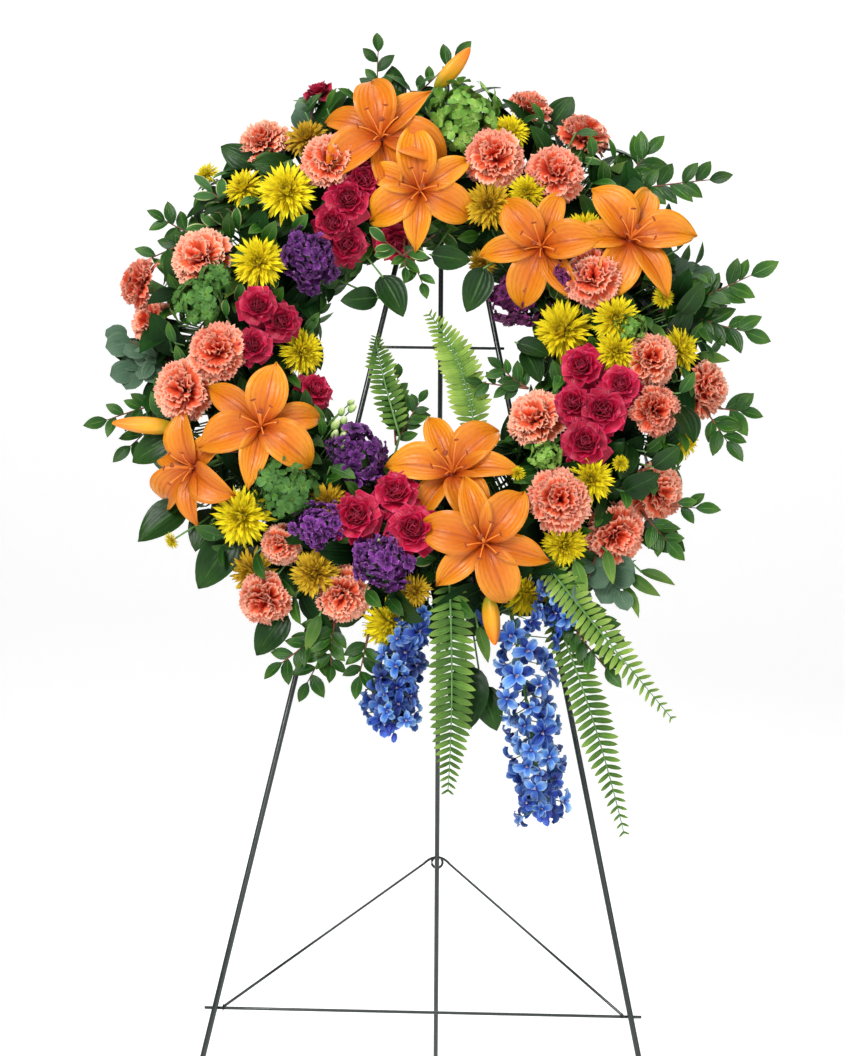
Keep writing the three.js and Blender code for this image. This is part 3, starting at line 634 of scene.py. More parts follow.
ANTHER = GrainFinish("lily_anther", rgb(156, 66, 14), rgb(98, 34, 12), scale=900, broad=200, roughness=0.85)
FILAMENT = GrainFinish("lily_filament", rgb(240, 150, 60), rgb(222, 110, 40), scale=300, broad=60)
PAINT = GrainFinish(
    "easel_green_paint", rgb(30, 42, 37), rgb(17, 25, 22), scale=420, broad=26, contrast=0.7,
    roughness=0.36, metallic=0.15, coat=0.35, depth=0.00012,
)
WIRE = GrainFinish(
    "florist_wire", rgb(88, 96, 84), rgb(58, 66, 58), scale=500, broad=60, roughness=0.4, metallic=0.85,
    depth=0.0001,
)
TRAY = GrainFinish(
    "tray_green_plastic", rgb(38, 84, 50), rgb(26, 64, 38), scale=700, broad=16, roughness=0.42,
    depth=0.00012,
)
FOAM = GrainFinish(
    "wet_foam", rgb(52, 104, 58), rgb(24, 58, 32), scale=900, broad=30, contrast=0.8, roughness=0.9,
    depth=0.0015,
)


# ---------------------------------------------------------------- petals and leaves
class Outline(Enum):
    """The outline of a petal or leaf."""

    LENS = "widest between its base and its tip"
    FAN = "widest at its tip"


@dataclass(frozen=True)
class Petal:
    """A petal or leaf along +Y from the origin, with its face to +Z; sizes are shares of the bloom."""

    length: float = 0.5
    width: float = 0.3
    rise: float = 0.0
    droop: float = 0.0
    bend: float = 1.0
    cup: float = 0.2
    groove: float = 0.0
    ruffle: float = 0.0
    waves: float = 3.0
    outline: Outline = Outline.LENS
    fullest: float = 0.55
    point: float = 0.7
    base: float = 0.2
    fringe: float = 0.0
    columns: int = 4
    rows: int = 5
    thickness: float = 0.0

    def half_width(self, along: float) -> float:
        """Half the width at a share of the length."""
        if self.outline is Outline.FAN:
            return self.width / 2 * (self.base + (1 - self.base) * along**0.75)
        skew = math.log(0.5) / math.log(self.fullest)
        lens = math.sin(math.pi * min(1.0, along**skew)) ** self.point
        return self.width / 2 * max(lens, self.base * (1 - along) ** 2, 0.02)

    def spine(self) -> list[tuple[float, float, float]]:
        """The petal's midline.

        Returns:
            Reach, height and slope for each row.
        """
        fine = 6
        reach = height = 0.0
        line = []
        for i in range(self.rows * fine + 1):
            along = i / (self.rows * fine)
            slope = math.radians(self.rise + (self.droop - self.rise) * along**self.bend)
            if i % fine == 0:
                line.append((reach, height, slope))
            reach += math.cos(slope) * self.length / (self.rows * fine)
            height += math.sin(slope) * self.length / (self.rows * fine)
        return line

    def mesh(self, rng: random.Random, material: int = 0) -> bpy.types.Mesh:
        """Models one petal.

        Args:
            rng: Gives its own ruffle and its shade.
            material: The material's place in the piece.

        Returns:
            The mesh.
        """
        bm = bmesh.new()
        bm.loops.layers.uv.new("UVMap")
        shade = bm.verts.layers.float.new("shade")
        bm.verts.layers.float.new("bloom")
        bmesh.ops.create_grid(bm, x_segments=self.columns, y_segments=self.rows, size=0.5, calc_uvs=True)
        line = self.spine()
        phase = rng.uniform(0, math.tau)
        tone = rng.random()
        twist = rng.uniform(-0.12, 0.12)
        for vert in bm.verts:
            side = vert.co.x * 2
            along = vert.co.y + 0.5
            reach, height, slope = line[round(along * self.rows)]
            half = self.half_width(along)
            crease = self.groove * math.exp(-((side / 0.22) ** 2)) * math.sin(math.pi * along)
            lift = self.cup * half * side**2 - crease
            wave = math.sin(side * self.waves * math.pi / 2 + phase + along * 2.0)
            lift += self.ruffle * along**1.6 * wave * (0.35 + 0.65 * abs(side))
            lift += twist * half * side * along
            forward = 0.0
            if self.outline is Outline.FAN:
                forward = -0.16 * self.length * side**2 * along
                if along > 0.99 and self.fringe:
                    forward += self.fringe * (1 if round((side + 1) * self.columns / 2) % 2 else -1)
            vert.co = Vector((
                side * half,
                reach - math.sin(slope) * lift + math.cos(slope) * forward,
                height + math.cos(slope) * lift + math.sin(slope) * forward,
            ))
            vert[shade] = tone
        if self.thickness:
            bmesh.ops.solidify(bm, geom=bm.faces[:], thickness=-self.thickness)
        for face in bm.faces:
            face.smooth = True
            face.material_index = material
        mesh = bpy.data.meshes.new("petal")
        bm.to_mesh(mesh)
        bm.free()
        return mesh

    def variants(self, rng: random.Random, count: int = 3, material: int = 0) -> list[bpy.types.Mesh]:
        """Several petals of this kind, each a little different."""
        return [self.mesh(rng, material) for _ in range(count)]


@dataclass(frozen=True)
class Whorl:
    """A ring of petals around a flower's axis."""

    petal: Petal
    count: int
    tilt: float = 0.0
    offset: float = 0.02
    height: float = 0.0
    turn: float = 0.0
    jitter: float = 5.0
    material: int = 0


class Growth:
    """A mesh in the making, to which petals, leaves and stems are added."""

    def __init__(self) -> None:
        """Starts an empty mesh with the layers that the finishes read."""
        self.bm = bmesh.new()
        self.bm.loops.layers.uv.new("UVMap")
        self.shade = self.bm.verts.layers.float.new("shade")
        self.bloom = self.bm.verts.layers.float.new("bloom")

    def place(self, mesh: bpy.types.Mesh, matrix: Matrix, bloom: float | None = None) -> None:
        """Adds a copy of a mesh.

        Args:
            mesh: What to add.
            matrix: Where it goes.
            bloom: The tone that its whole flower shares, if it is set here.
        """
        copy = mesh.copy()
        copy.transform(matrix)
        if bloom is not None:
            copy.attributes["bloom"].data.foreach_set("value", [bloom] * len(copy.vertices))
        self.bm.from_mesh(copy)
        bpy.data.meshes.remove(copy)

    def whorl(self, whorl: Whorl, rng: random.Random) -> None:
        """Adds a ring of petals.

        Args:
            whorl: The ring.
            rng: Gives each petal its own tilt, turn and size.
        """
        kinds = whorl.petal.variants(rng, min(whorl.count, 4), whorl.material)
        for i in range(whorl.count):
            spin = math.radians(-whorl.turn) - math.tau * i / whorl.count
            spin += math.radians(rng.uniform(-whorl.jitter, whorl.jitter))
            tilt = math.radians(whorl.tilt + rng.uniform(-whorl.jitter, whorl.jitter))
            size = 1 + rng.uniform(-0.012, 0.012) * whorl.jitter
            matrix = (
                Matrix.Translation((0, 0, whorl.height))
                @ Matrix.Rotation(spin, 4, "Z")
                @ Matrix.Translation((0, whorl.offset, 0))
                @ Matrix.Rotation(tilt, 4, "X")
                @ Matrix.Scale(size, 4)
            )
            self.place(kinds[i % len(kinds)], matrix)

    def petal(self, mesh: bpy.types.Mesh, spin: float, tilt: float, offset: float, height: float) -> None:
        """Adds one petal: `spin` in radians about the axis, `tilt` in degrees from level."""
        turn = Matrix.Rotation(spin, 4, "Z") @ Matrix.Translation((0, offset, height))
        self.place(mesh, turn @ Matrix.Rotation(math.radians(tilt), 4, "X"))

    def loft(self, points: list[Vector], radii: list[float], sides: int = 8, material: int = 0) -> None:
        """Adds a closed round tube through points.

        Args:
            points: The middle of the tube.
            radii: Its radius at each point.
            sides: How many sides it has.
            material: The material's place in the piece.
        """
        made = bmesh.ops.create_circle(self.bm, cap_ends=True, segments=sides, radius=1)["verts"]
        faces = {face for vert in made for face in vert.link_faces}
        edges = list({edge for vert in made for edge in vert.link_edges})
        old = Matrix.Identity(4)
        for i, (point, radius) in enumerate(zip(points, radii)):
            ahead = points[min(i + 1, len(points) - 1)] - points[max(i - 1, 0)]
            turn = UP.rotation_difference(ahead).to_matrix().to_4x4()
            new = Matrix.Translation(point) @ turn @ Matrix.Scale(radius, 4)
            if i:
                result = bmesh.ops.extrude_edge_only(self.bm, edges=edges)["geom"]
                made = [item for item in result if isinstance(item, bmesh.types.BMVert)]
                edges = [item for item in result if isinstance(item, bmesh.types.BMEdge)]
                faces |= {item for item in result if isinstance(item, bmesh.types.BMFace)}
            bmesh.ops.transform(self.bm, matrix=new @ old.inverted(), verts=made)
            old = new
        faces |= set(bmesh.ops.contextual_create(self.bm, geom=edges)["faces"])
        bmesh.ops.recalc_face_normals(self.bm, faces=list(faces))
        for face in faces:
            face.smooth = True
            face.material_index = material

    def ball(self, matrix: Matrix, material: int = 0, rings: int = 6, ridge: float = 0.0) -> None:
        """Adds a rounded body of unit radius, with ridges along it if asked.

        Args:
            matrix: Its place, turn and stretch.
            material: The material's place in the piece.
            rings: How many rings it has from pole to pole.
            ridge: The depth of its three grooves.
        """
        made = bmesh.ops.create_uvsphere(self.bm, u_segments=rings * 2, v_segments=rings, radius=1)["verts"]
        layer = self.bm.loops.layers.uv["UVMap"]
        for vert in made:
            swell = 1 + ridge * math.cos(3 * math.atan2(vert.co.x, vert.co.y))
            along = (vert.co.z + 1) / 2
            taper = 1 - 0.35 * along**3 if ridge else 1
            for loop in vert.link_loops:
                loop[layer].uv = (0.5, along)
            vert.co = Vector((vert.co.x * swell * taper, vert.co.y * swell * taper, vert.co.z))
        bmesh.ops.transform(self.bm, matrix=matrix, verts=made)
        for face in {face for vert in made for face in vert.link_faces}:
            face.smooth = True
            face.material_index = material

    def template(self) -> bpy.types.Mesh:
        """Ends the work and returns it as a mesh to place elsewhere."""
        mesh = bpy.data.meshes.new("template")
        self.bm.to_mesh(mesh)
        self.bm.free()
        return mesh

    def piece(self, name: str, finishes: list, slot: str, nodes: tuple[str, ...] = ()) -> bpy.types.Object:
        """Ends the work as a piece of the wreath.

        Args:
            name: The piece's name.
            finishes: Its finishes, in the order of the material places.
            slot: Not used.
            nodes: The CAD nodes that it stands for.

        Returns:
            The object.
        """
        mesh = bpy.data.meshes.new(name)
        self.bm.to_mesh(mesh)
        self.bm.free()
        for finish in finishes:
            mesh.materials.append(finish.material())
        obj = bpy.data.objects.new(name, mesh)
        bpy.context.scene.collection.objects.link(obj)
        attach(obj, FRAME_BODY)
        if nodes:
            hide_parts(*nodes)
        LOG.info("%s: %d faces", name, len(mesh.polygons))
        return obj


def arc(start: Vector, middle: Vector, end: Vector, steps: int) -> list[Vector]:
    """Points on the curve that leaves start towards middle and reaches end from there."""
    line = []
    for i in range(steps + 1):
        t = i / steps
        line.append(start * (1 - t) ** 2 + middle * 2 * t * (1 - t) + end * t**2)
    return line


# ---------------------------------------------------------------- flower heads of unit diameter about +Z
class Flower(ABC):
    """A kind of flower head of unit diameter, built a few times over and then placed again and again."""

    finishes: tuple = ()
    slot: str = ""
    neck: float = 0.4
    kinds: int = 3
    stem: int = 1

    def __init__(self, seed: int) -> None:
        """Builds the heads.

        Args:
            seed: Starts its own run of random numbers.
        """
        self.rng = random.Random(seed)
        self.heads = []
        for _ in range(self.kinds):
            growth = Growth()
            self.build(growth)
            self.heads.append(growth.template())

    @abstractmethod
    def build(self, growth: Growth) -> None:
        """Adds one head to a growth."""

    def place(self, growth: Growth, matrix: Matrix) -> None:
        """Adds one of the heads to a growth, in a tone of its own."""
        growth.place(self.rng.choice(self.heads), matrix, self.rng.random())


class Lily(Flower):
    """An Asiatic lily: three broad petals over three narrower ones, six stamens and a pistil."""

    finishes = (LILY, STEM, FILAMENT, ANTHER, LILY_BUD)
    slot = "lily_petal"
    neck = 0.27
    kinds = 7

    def build(self, growth: Growth) -> None:
        """Adds one head to a growth."""
        for i in range(6):
            broad = i % 2 == 0
            petal = Petal(
                length=self.rng.uniform(0.57, 0.62), width=0.34 if broad else 0.24,
                rise=self.rng.uniform(42, 54),
                droop=self.rng.uniform(-84, -34), bend=self.rng.uniform(0.9, 1.2),
                cup=self.rng.uniform(0.36, 0.56),
                groove=0.017, ruffle=0.022, waves=2.8, fullest=0.47, point=1.12, thickness=0.006, columns=8,
                rows=18,
            )
            spin = -math.tau * i / 6 + self.rng.uniform(-0.12, 0.12)
            growth.petal(petal.mesh(self.rng), spin, self.rng.uniform(-9, 9), 0.015,
                         -0.12 if broad else -0.135)
        self.tube(growth)
        for i in range(6):
            self.stamen(growth, math.tau * (i + 0.5) / 6 + self.rng.uniform(-0.15, 0.15))
        self.pistil(growth)

    def tube(self, growth: Growth) -> None:
        """Adds the base of the funnel."""
        points = [Vector((0, 0, height)) for height in (-0.28, -0.24, -0.17, -0.11)]
        growth.loft(points, [0.02, 0.03, 0.036, 0.028], 10, 0)

    def stamen(self, growth: Growth, angle: float) -> None:
        """Adds a filament with its anther."""
        out = Vector((math.sin(angle), math.cos(angle), 0))
        tip = out * self.rng.uniform(0.13, 0.17) + UP * self.rng.uniform(0.13, 0.18)
        line = arc(Vector((0, 0, -0.12)), out * 0.05 + UP * 0.06, tip, 5)
        growth.loft(line, [0.008, 0.007, 0.006, 0.005, 0.005, 0.004], 6, 2)
        lie = (out.cross(UP) * self.rng.uniform(0.5, 1) + UP * self.rng.uniform(-0.5, 0.5)).normalized()
        turn = UP.rotation_difference(lie).to_matrix().to_4x4()
        growth.ball(Matrix.Translation(tip) @ turn @ Matrix.Diagonal((0.008, 0.008, 0.028, 1)), 3, 5)

    def pistil(self, growth: Growth) -> None:
        """Adds the style and its stigma."""
        tip = Vector((0.03, -0.02, 0.22))
        growth.loft(arc(Vector((0, 0, -0.12)), Vector((0, 0, 0.08)), tip, 5), [0.012] * 5 + [0.014], 8, 2)
        growth.ball(Matrix.Translation(tip) @ Matrix.Diagonal((0.024, 0.024, 0.014, 1)), 3, 6, 0.2)


class Carnation(Flower):
    """A carnation: a dome of ruffled petals with pale fringed edges, out of a long green calyx."""

    finishes = (CARNATION, STEM)
    slot = "carnation_petal"
    neck = 0.55
    kinds = 5
    petals = 54

    def build(self, growth: Growth) -> None:
        """Adds one head to a growth."""
        kinds = []
        for _ in range(9):
            petal = Petal(
                length=self.rng.uniform(0.49, 0.55), width=self.rng.uniform(0.3, 0.4),
                rise=self.rng.uniform(2, 22),
                droop=self.rng.uniform(-55, -12), bend=1.7, cup=self.rng.uniform(-0.4, 0.6), ruffle=0.062,
                waves=self.rng.uniform(5, 8), fringe=0.022, outline=Outline.FAN, base=0.14, columns=10,
                rows=5,
            )
            kinds.append(petal.mesh(self.rng))
        golden = math.pi * (3 - math.sqrt(5))
        for i in range(self.petals):
            share = i / (self.petals - 1)
            tilt = math.degrees(math.asin(min(1.0, share**0.8))) + self.rng.uniform(-9, 9)
            growth.petal(kinds[i % 9], golden * i + self.rng.uniform(-0.3, 0.3), tilt, 0.03, -0.17)
        points = [Vector((0, 0, height)) for height in (-0.62, -0.58, -0.42, -0.26, -0.16)]
        growth.loft(points, [0.06, 0.11, 0.13, 0.15, 0.17], 12, 1)
        sepal = Petal(length=0.15, width=0.12, rise=10, droop=-10, cup=0.3, columns=2, rows=3)
        growth.whorl(Whorl(sepal, 5, 62, 0.15, -0.2, jitter=3, material=1), self.rng)


class Mum(Flower):
    """A spray chrysanthemum with many narrow rays."""

    finishes = (MUM, STEM)
    slot = "chrysanthemum_petal"
    neck = 0.15

    def build(self, growth: Growth) -> None:
        """Adds one head to a growth."""
        rings = ((26, -8, 0.5, -12), (28, 4, 0.49, -4), (27, 15, 0.46, 6), (25, 27, 0.4, 20),
                 (22, 40, 0.34, 34),
                 (18, 54, 0.27, 44), (13, 68, 0.2, 50), (8, 82, 0.14, 50))
        for i, (count, tilt, length, droop) in enumerate(rings):
            petal = Petal(length=length, width=0.062, rise=2, droop=droop, cup=0.8, groove=0.004,
                          fullest=0.74,
                          point=0.3, base=0.7, columns=2, rows=4, ruffle=0.016, waves=1)
            growth.whorl(Whorl(petal, count, tilt, 0.015, -0.06, 9 * i, jitter=9), self.rng)
        points = [Vector((0, 0, height)) for height in (-0.2, -0.15, -0.07, -0.03)]
        growth.loft(points, [0.04, 0.13, 0.17, 0.12], 10, 1)


class GoldMum(Mum):
    """A chrysanthemum of the darker, golden kind."""

    finishes = (GOLD_MUM, STEM)


class SprayRose(Flower):
    """A spray rose: cupped petals around a closed heart."""

    finishes = (ROSE, STEM)
    slot = "rose_petal"
    neck = 0.42
    kinds = 4

    def build(self, growth: Growth) -> None:
        """Adds one head to a growth."""
        shape = dict(fullest=0.72, point=0.32, base=0.45, columns=5, rows=7, ruffle=0.007, waves=2)
        rings = ((5, -6, 0.56, 0.52, 40, -52, 0.36), (5, 14, 0.53, 0.5, 46, -44, 0.5),
                 (5, 32, 0.5, 0.46, 44, -30, 0.7), (5, 48, 0.47, 0.4, 38, -18, 0.95),
                 (4, 62, 0.45, 0.34, 30, -4, 1.2), (3, 72, 0.43, 0.26, 22, 8, 1.5),
                 (2, 80, 0.41, 0.2, 14, 12, 1.8))
        for i, (count, tilt, length, width, rise, droop, cup) in enumerate(rings):
            petal = Petal(length=length, width=width, rise=rise, droop=droop, bend=1.3, cup=cup, **shape)
            growth.whorl(Whorl(petal, count, tilt, 0.02, -0.2, 31 * i, jitter=6), self.rng)
        points = [Vector((0, 0, height)) for height in (-0.46, -0.38, -0.28, -0.18)]
        growth.loft(points, [0.05, 0.12, 0.14, 0.08], 10, 1)
        sepal = Petal(length=0.4, width=0.1, rise=20, droop=-50, cup=0.2, fullest=0.3, columns=2, rows=5)
        growth.whorl(Whorl(sepal, 5, -12, 0.08, -0.3, jitter=8, material=1), self.rng)


@dataclass(frozen=True)
class Floret:
    """A small flower of a cluster or a spike."""

    petals: Petal
    count: int
    tilt: float
    inner: Petal | None = None
    inner_count: int = 0
    inner_tilt: float = 50
    inner_material: int = 0
    heart: float = 0.0
    heart_material: int = 0

    def template(self, rng: random.Random) -> bpy.types.Mesh:
        """Models one floret.

        Args:
            rng: Gives each petal its own tilt and turn.

        Returns:
            The mesh.
        """
        growth = Growth()
        growth.whorl(Whorl(self.petals, self.count, self.tilt, 0.03, jitter=9), rng)
        if self.inner:
            ring = Whorl(self.inner, self.inner_count, self.inner_tilt, 0.02, 0.03, 30, 9,
                         self.inner_material)
            growth.whorl(ring, rng)
        if self.heart:
            stretch = Matrix.Diagonal((self.heart, self.heart, self.heart * 0.8, 1))
            growth.ball(Matrix.Translation((0, 0, self.heart * 0.6)) @ stretch, self.heart_material, 4)
        return growth.template()


class Cluster(Flower):
    """A rounded head of many florets."""

    neck = 0.25
    floret: Floret
    count: int = 40
    share: float = 0.3
    flatness: float = 0.85
    low: float = -0.45
    ragged: float = 0.12

    def build(self, growth: Growth) -> None:
        """Adds one head to a growth."""
        florets = [self.floret.template(self.rng) for _ in range(4)]
        golden = math.pi * (3 - math.sqrt(5))
        for i in range(self.count):
            height = 1 - (1 - self.low) * (i + 0.5) / self.count
            ring = math.sqrt(1 - height**2)
            angle = golden * i + self.rng.uniform(-0.15, 0.15)
            out = Vector((ring * math.cos(angle), ring * math.sin(angle), height))
            place = out * (0.5 - self.share * 0.3) * self.rng.uniform(1 - 2 * self.ragged, 1 + self.ragged)
            place.z *= self.flatness
            lean = (out + Vector([self.rng.uniform(-3, 3) * self.ragged for _ in range(3)])).normalized()
            turn = UP.rotation_difference(lean).to_matrix().to_4x4()
            spin = Matrix.Rotation(self.rng.uniform(0, math.tau), 4, "Z")
            size = self.share * self.rng.uniform(0.78, 1.18)
            growth.place(florets[i % 4], Matrix.Translation(place) @ turn @ spin @ Matrix.Scale(size, 4))
        self.fill(growth)

    def fill(self, growth: Growth) -> None:
        """Adds the short stems that carry the outermost florets."""
        points = [Vector((0, 0, height)) for height in (-0.45, -0.3, -0.05, 0.2)]
        growth.loft(points, [0.03, 0.08, 0.26, 0.1], 12, self.stem)


class Stock(Cluster):
    """A short dense head of crumpled purple stock."""

    finishes = (STOCK, STEM, PALE_BUD)
    slot = "stock_petal"
    count = 40
    share = 0.34
    flatness = 1.0
    low = -0.6
    ragged = 0.26
    floret = Floret(
        Petal(length=0.52, width=0.4, rise=40, droop=-46, cup=0.2, ruffle=0.08, waves=3, fullest=0.68,
              point=0.5,
              base=0.2, columns=4, rows=5), 5, 6,
        Petal(length=0.34, width=0.34, rise=20, droop=-20, cup=0.4, ruffle=0.06, waves=3, fullest=0.7,
              point=0.45,
              base=0.3, columns=3, rows=3), 4,
    )


class PlumStock(Stock):
    """A head of the redder kind of stock."""

    finishes = (PLUM_STOCK, STEM, PALE_BUD)


class Hydrangea(Cluster):
    """A green hydrangea: many florets of four rounded sepals."""

    finishes = (HYDRANGEA, STEM)
    slot = "hydrangea_petal"
    count = 52
    share = 0.3
    flatness = 0.8
    ragged = 0.16
    floret = Floret(
        Petal(length=0.48, width=0.42, rise=18, droop=-22, cup=0.16, ruffle=0.035, waves=2, fullest=0.58,
              point=0.5,
              base=0.25, columns=4, rows=4), 4, 8, heart=0.07,
    )


class DarkHydrangea(Hydrangea):
    """A hydrangea of a deeper green."""

    finishes = (DARK_HYDRANGEA, STEM)


class DelphiniumFloret(Flower):
    """One floret of a delphinium: five blue sepals around a pale eye."""

    finishes = (DELPHINIUM, STEM, DELPHINIUM_EYE, PALE_DELPHINIUM)
    slot = "delphinium_petal"
    kinds = 9

    def build(self, growth: Growth) -> None:
        """Adds one head to a growth."""
        sepal = Petal(length=0.52, width=0.32, rise=self.rng.uniform(16, 60),
                      droop=self.rng.uniform(-80, -20),
                      cup=self.rng.uniform(0.4, 1.1), ruffle=0.1, waves=2.4, fullest=0.6, point=0.6, base=0.3,
                      columns=4, rows=6)
        eye = Petal(length=0.13, width=0.08, rise=40, droop=-10, cup=0.4, ruffle=0.02, fullest=0.6, columns=2,
                    rows=3)
        outer, inner = self.rng.choice(((0, 3), (0, 0), (3, 3)))
        growth.whorl(Whorl(sepal, 3, self.rng.uniform(0, 24), 0.03, jitter=16, material=outer), self.rng)
        growth.whorl(Whorl(sepal, 3, self.rng.uniform(12, 40), 0.03, 0.02, 60, 16, material=inner), self.rng)
        growth.whorl(Whorl(eye, 3, 52, 0.01, 0.03, 20, 9, 2), self.rng)


# ---------------------------------------------------------------- the planting plan
@dataclass(frozen=True)
class Bloom:
    """Where a flower head goes: its clock angle, reach and size in mm, and how far it turns to the front."""

    clock: float
    reach: float
    size: float
    turn: float | None = None
    gaze: float = 0.45
    drop: float = 0.0


@dataclass
class Spray:
    """One bloom, or several of a kind on stems that meet in the foam."""

    name: str
    flower: Flower
    blooms: tuple[Bloom, ...]
    nodes: tuple[str, ...] = ()
    rise: float = 0.0

    def build(self, ring: RingFrame, rng: random.Random) -> bpy.types.Object:
        """Models the spray.

        Args:
            ring: The frame it stands in.
            rng: Turns each head.

        Returns:
            The piece.
        """
        growth = Growth()
        self.grow(growth, ring, rng)
        return growth.piece(self.name, list(self.flower.finishes), self.flower.slot, self.nodes)

    def grow(self, growth: Growth, ring: RingFrame, rng: random.Random) -> None:
        """Adds the heads and their stems to a growth."""
        for bloom in self.blooms:
            seat = ring.seat(bloom.clock, bloom.reach, 95.0 + self.rise)
            facing = seat.aim.lerp(UP, bloom.gaze).normalized()
            turn = rng.uniform(0, 360) if bloom.turn is None else bloom.turn + bloom.clock
            head = seat.head - seat.aim * bloom.drop
            self.flower.place(growth, ring.matrix(head, facing, turn, bloom.size))
            ring.heads.append(Head(head, facing, bloom.size / 2))
            neck = head - facing * self.flower.neck * bloom.size
            self.add_stem(growth, ring, seat, neck, min(2.3, 0.5 + 0.03 * bloom.size))

    def add_stem(self, growth: Growth, ring: RingFrame, seat: Seat, neck: Vector, thickness: float) -> None:
        """Adds the stem between the foam and a head."""
        way = arc(seat.core + seat.aim * 16, seat.core + seat.aim * 60, neck, 6)
        growth.loft([ring.world(point) for point in way], [thickness * MM] * 7, 8, self.flower.stem)


@dataclass
class LilyStem(Spray):
    """A lily on its stem, with a bud beside it where it has one."""

    bud: tuple[tuple[float, float, float], tuple[float, float, float]] | None = None

    def grow(self, growth: Growth, ring: RingFrame, rng: random.Random) -> None:
        """Adds the lily, its stem and its bud to a growth."""
        super().grow(growth, ring, rng)
        if not self.bud:
            return
        base, tip = (ring.flat(*end) for end in self.bud)
        run = tip - base
        turn = UP.rotation_difference(run).to_matrix().to_4x4()
        middle = Matrix.Translation(ring.world(base + run * 0.5)) @ ring.turn() @ turn
        growth.ball(middle @ Matrix.Diagonal((10 * MM, 10 * MM, run.length * 0.54 * MM, 1)), 4, 12, 0.13)
        seat = ring.seat(self.blooms[0].clock, self.blooms[0].reach, 95.0 + self.rise)
        way = arc(seat.core + seat.aim * 60, base - run * 0.4, base + run * 0.06, 6)
        growth.loft([ring.world(point) for point in way], [2.2 * MM] * 7, 8, 1)


@dataclass
class Spike:
    """A spike of florets that hangs below the ring; its ends are clock, reach, lift."""

    name: str
    flower: Flower
    start: tuple[float, float, float]
    end: tuple[float, float, float]
    wide: float
    narrow: float
    florets: int
    floret_size: float = 30
    gather: float = 0.9
    nodes: tuple[str, ...] = ()

    def build(self, ring: RingFrame, rng: random.Random) -> bpy.types.Object:
        """Models the spike.

        Args:
            ring: The frame it stands in.
            rng: Moves and turns each floret.

        Returns:
            The piece.
        """
        growth = Growth()
        start, end = ring.flat(*self.start), ring.flat(*self.end)
        run = end - start
        ahead = run.normalized()
        side = ahead.cross(UP).normalized()
        front = side.cross(ahead).normalized()
        golden = math.pi * (3 - math.sqrt(5))
        for i in range(self.florets):
            along = ((i + 0.5) / self.florets) ** self.gather
            angle = golden * i
            out = side * math.cos(angle) + front * math.sin(angle)
            width = self.wide + (self.narrow - self.wide) * along
            size = self.floret_size * (1 - 0.25 * along) * rng.uniform(0.78, 1.2)
            middle = start + run * along
            place = middle + out * (width / 2 - size * 0.2) * rng.uniform(0.4, 1.05)
            loose = Vector([rng.uniform(-0.45, 0.45) for _ in range(3)])
            facing = (out + ahead * 0.2 + UP * 0.3 + loose).normalized()
            self.flower.place(growth, ring.matrix(place, facing, rng.uniform(0, 360), size))
            growth.loft([ring.world(middle - ahead * 8), ring.world(place)], [0.8 * MM, 0.6 * MM], 4, 1)
        core = ring.flat(self.start[0], ring.radius, ring.core_lift)
        foot = core + (start - core).normalized() * 16
        way = arc(foot, start - run * 0.1, end, 10)
        growth.loft([ring.world(point) for point in way], [2.4 * MM] * 6 + [1.8 * MM] * 5, 8, 1)
        self.add_buds(growth, ring, end, ahead, rng)
        return growth.piece(self.name, list(self.flower.finishes), self.flower.slot, self.nodes)

    def add_buds(self, growth: Growth, ring: RingFrame, end: Vector, ahead: Vector,
                 rng: random.Random) -> None:
        """Adds the closed buds at the spike's tip."""
        for _ in range(11):
            away = Vector([rng.uniform(-1, 1) for _ in range(3)]) * 8
            place = end + ahead * rng.uniform(-4, 12) + away
            growth.loft([ring.world(end - ahead * 4), ring.world(place)], [0.8 * MM, 0.7 * MM], 4, 1)
            growth.ball(ring.matrix(place, ahead, 0, 1) @ Matrix.Diagonal((3.6, 3.6, 6, 1)), 0, 4)


@dataclass
class Frond:
    """A sword fern: a midrib with pairs of leaflets; its base, middle and tip are clock, reach, lift."""

    name: str
    base: tuple[float, float, float]
    middle: tuple[float, float, float]
    tip: tuple[float, float, float]
    width: float
    pairs: int = 26
    finish: PetalFinish = FERN
    nodes: tuple[str, ...] = ()

    def build(self, ring: RingFrame, rng: random.Random) -> bpy.types.Object:
        """Models the frond.

        Args:
            ring: The frame it stands in.
            rng: Turns and sizes each leaflet.

        Returns:
            The piece.
        """
        growth = Growth()
        base, middle, tip = (ring.flat(*point) for point in (self.base, self.middle, self.tip))
        line = arc(base, middle, tip, 60)
        leaflet = Petal(length=1, width=0.3, rise=4, droop=-16, cup=-0.25, groove=0.02, ruffle=0.02, waves=2,
                        fullest=0.42, point=0.5, base=0.7, columns=2, rows=6)
        kinds = leaflet.variants(rng, 5)
        for i in range(self.pairs):
            along = 0.06 + 0.93 * i / (self.pairs - 1)
            spot = along * 60
            low = min(int(spot), 59)
            place = line[low].lerp(line[low + 1], spot - low)
            ahead = (line[low + 1] - line[low]).normalized()
            side = ahead.cross(UP).normalized()
            front = side.cross(ahead).normalized()
            reach = self.width * 0.5 * min(1.0, 0.26 + (1 - along) * 1.9, 0.5 + along * 3)
            for hand in (-1, 1):
                way = side * hand + ahead * (0.28 + 0.5 * along**3) + front * rng.uniform(-0.12, 0.16)
                way.normalize()
                size = reach * rng.uniform(0.94, 1.08) + 2
                growth.place(rng.choice(kinds), leaf_matrix(ring, place, way, front, size), rng.random())
        ends = ring.flat(self.base[0], ring.radius, ring.core_lift)
        root = [ends.lerp(base, 0.2), ends.lerp(base, 0.6)]
        radii = [1.5 * MM] * 2 + [(1.5 - 1.0 * i / 60) * MM for i in range(0, 61, 4)]
        growth.loft([ring.world(point) for point in root + line[::4]], radii, 6, 1)
        return growth.piece(self.name, [self.finish, STEM], "fern_frond", self.nodes)


